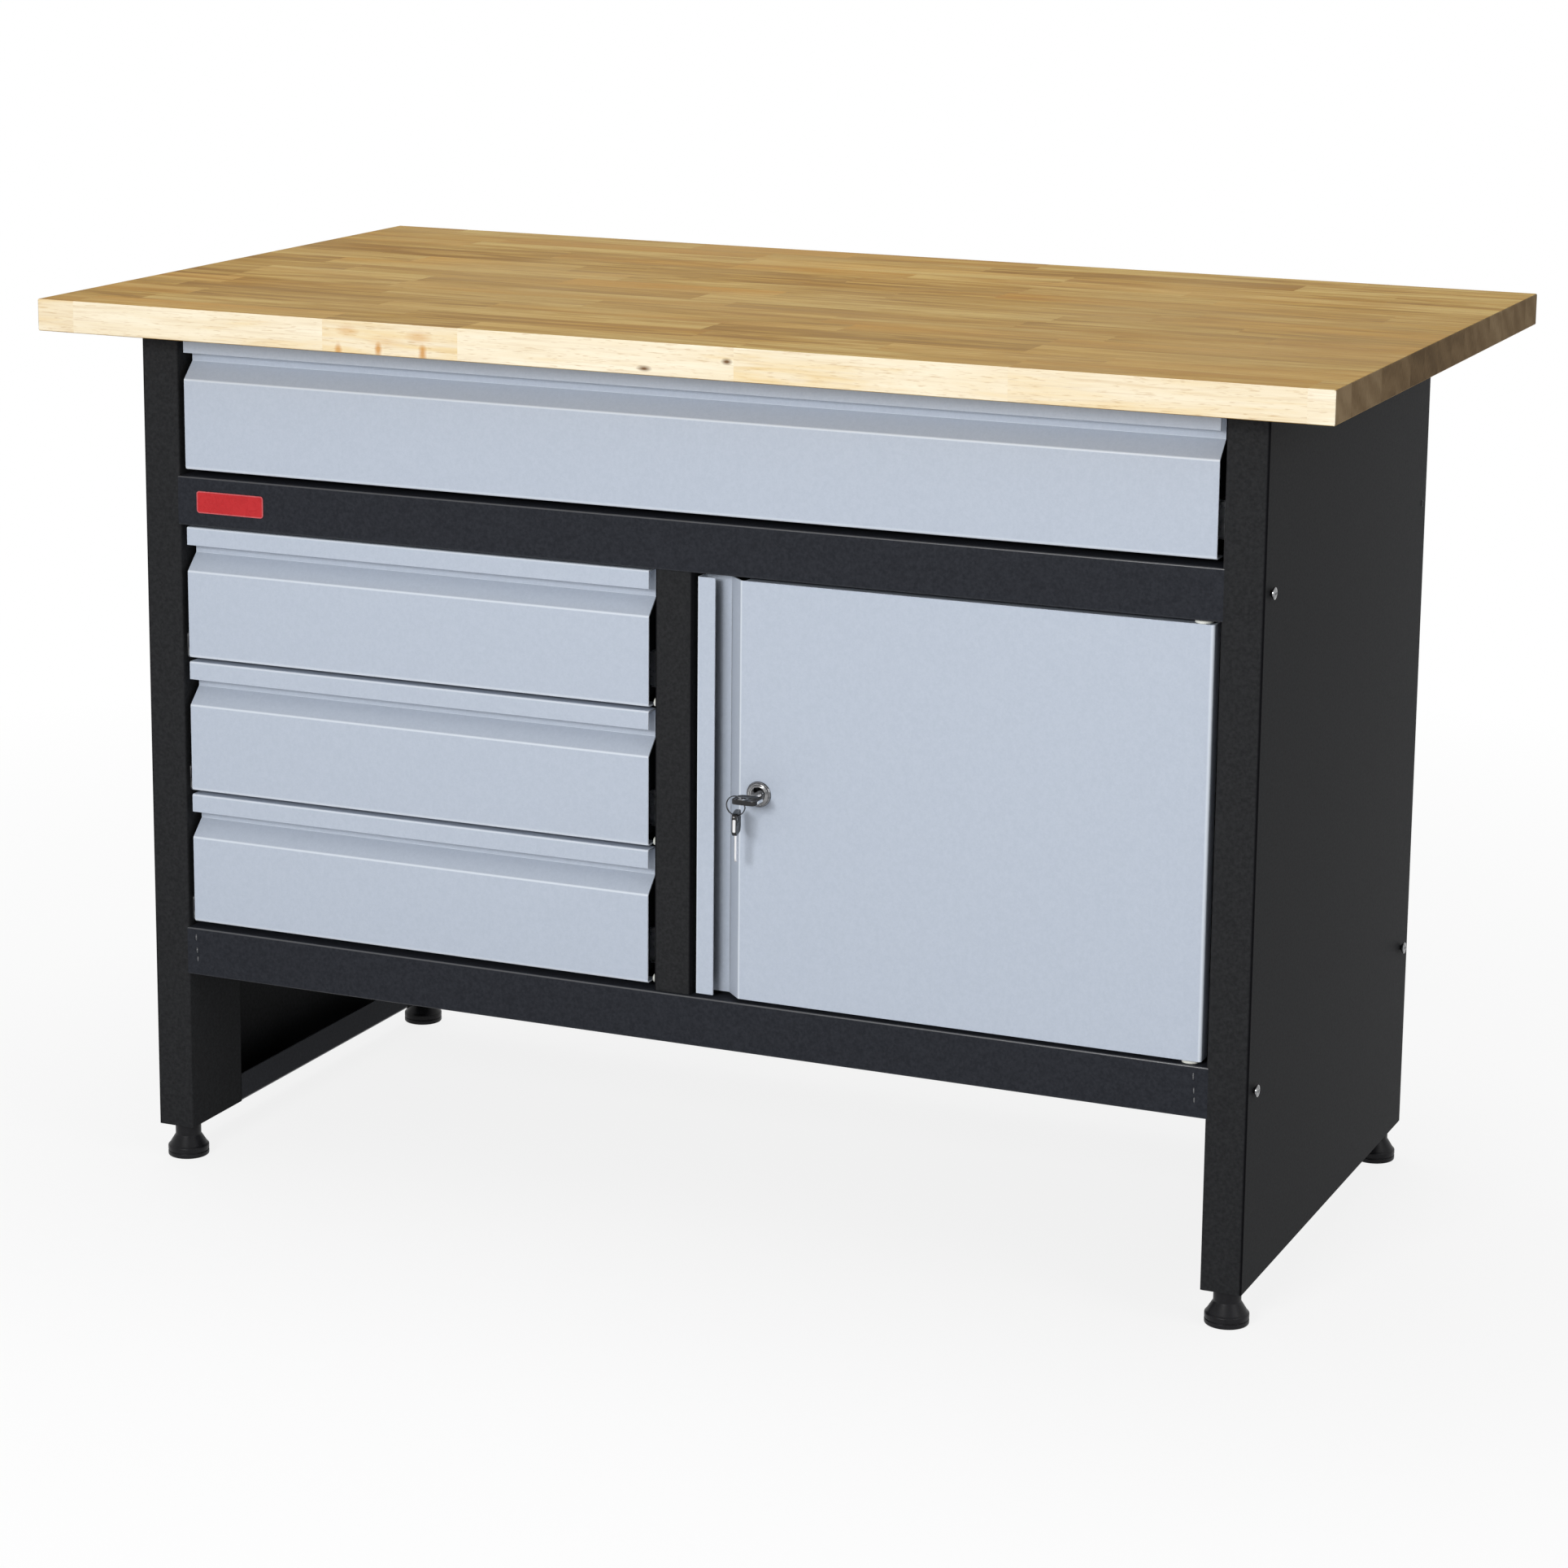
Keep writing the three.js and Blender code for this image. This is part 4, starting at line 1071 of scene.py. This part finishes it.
def makeWorld():
    scene.world = bpy.data.worlds.new("studioWorld")
    scene.world.use_nodes = True
    tree = scene.world.node_tree
    tree.nodes.clear()
    soft = add(tree, "Background", {"Color": (1, 1, 1, 1), "Strength": sky["ambient"]}).outputs[0]
    white = add(tree, "Background", {"Color": (1, 1, 1, 1), "Strength": 1.0}).outputs[0]
    both = add(tree, "MixShader", {0: seenRay(tree), 1: soft, 2: white}).outputs[0]
    add(tree, "OutputWorld", {"Surface": both})


# the floor is a disc: rings of points, radius growing as the square of the step
def makeFloor():
    radius = ground["radius"] * np.linspace(0, 1, ground["rings"])[:, None] ** 2
    turn = np.linspace(0, 2 * math.pi, ground["sides"], endpoint=False)
    points = alongZ(radius * np.cos(turn), radius * np.sin(turn), -ground["drop"])
    quads = gridQuads(len(radius), len(turn), wrapColumns=True)
    mesh = bpy.data.meshes.new("studioFloor")
    mesh.from_pydata(points.reshape(-1, 3).tolist(), [], quads.tolist())
    floor = bpy.data.objects.new("studioFloor", mesh)
    scene.collection.objects.link(floor)
    material, tree, shader = newFinish("floorWhite")
    tone = (*[ground["tone"]] * 3, 1)
    feed(tree, shader, {"Base Color": tone, "Roughness": ground["rough"], "Specular IOR Level": 0.0})
    far = add(tree, "VectorMath", {0: objectPlace(tree)}, operation="LENGTH").outputs["Value"]
    fade = fitRange(tree, far, *ground["white"])
    share = mathNode(tree, "MULTIPLY", seenRay(tree), fade)
    white = add(tree, "Emission", {"Color": (1, 1, 1, 1), "Strength": 1.0}).outputs[0]
    both = add(tree, "MixShader", {0: share, 1: shader.outputs[0], 2: white}).outputs[0]
    feed(tree, tree.nodes["Material Output"], {"Surface": both})
    mesh.materials.append(material)


# turns an object's -z towards a point
def facing(place, aim):
    return (Vector(aim) - Vector(place)).to_track_quat("-Z", "Y").to_matrix()


def makeLamp(name, lamp):
    data = bpy.data.lights.new(name, "AREA")
    data.shape = "RECTANGLE"
    data.size, data.size_y = lamp["size"]
    data.energy = lamp["power"]
    made = bpy.data.objects.new(name, data)
    made.location = lamp["place"]
    made.rotation_euler = facing(lamp["place"], lamp["aim"]).to_euler()
    made.visible_camera = False
    scene.collection.objects.link(made)


camera = {
    "place": (1.5278, -3.5646, 1.3458), "aim": (-0.0144, 0.0, 0.5271), "roll": 0.5545,
    "lens": 94.17, "sensor": 36.0, "lift": -0.10,
}


def makeCamera():
    data = bpy.data.cameras.new("photoCamera")
    data.lens = camera["lens"]
    data.sensor_width = camera["sensor"]
    data.shift_y = camera["lift"]
    made = bpy.data.objects.new("photoCamera", data)
    made.location = camera["place"]
    roll = Matrix.Rotation(math.radians(camera["roll"]), 3, "Z")
    made.rotation_euler = (facing(camera["place"], camera["aim"]) @ roll).to_euler()
    scene.collection.objects.link(made)
    scene.camera = made


makeWorld()
makeFloor()
for name, lamp in lamps.items():
    makeLamp(name, lamp)
makeCamera()
print("stage: floor, world,", len(lamps), "lamps and the camera")
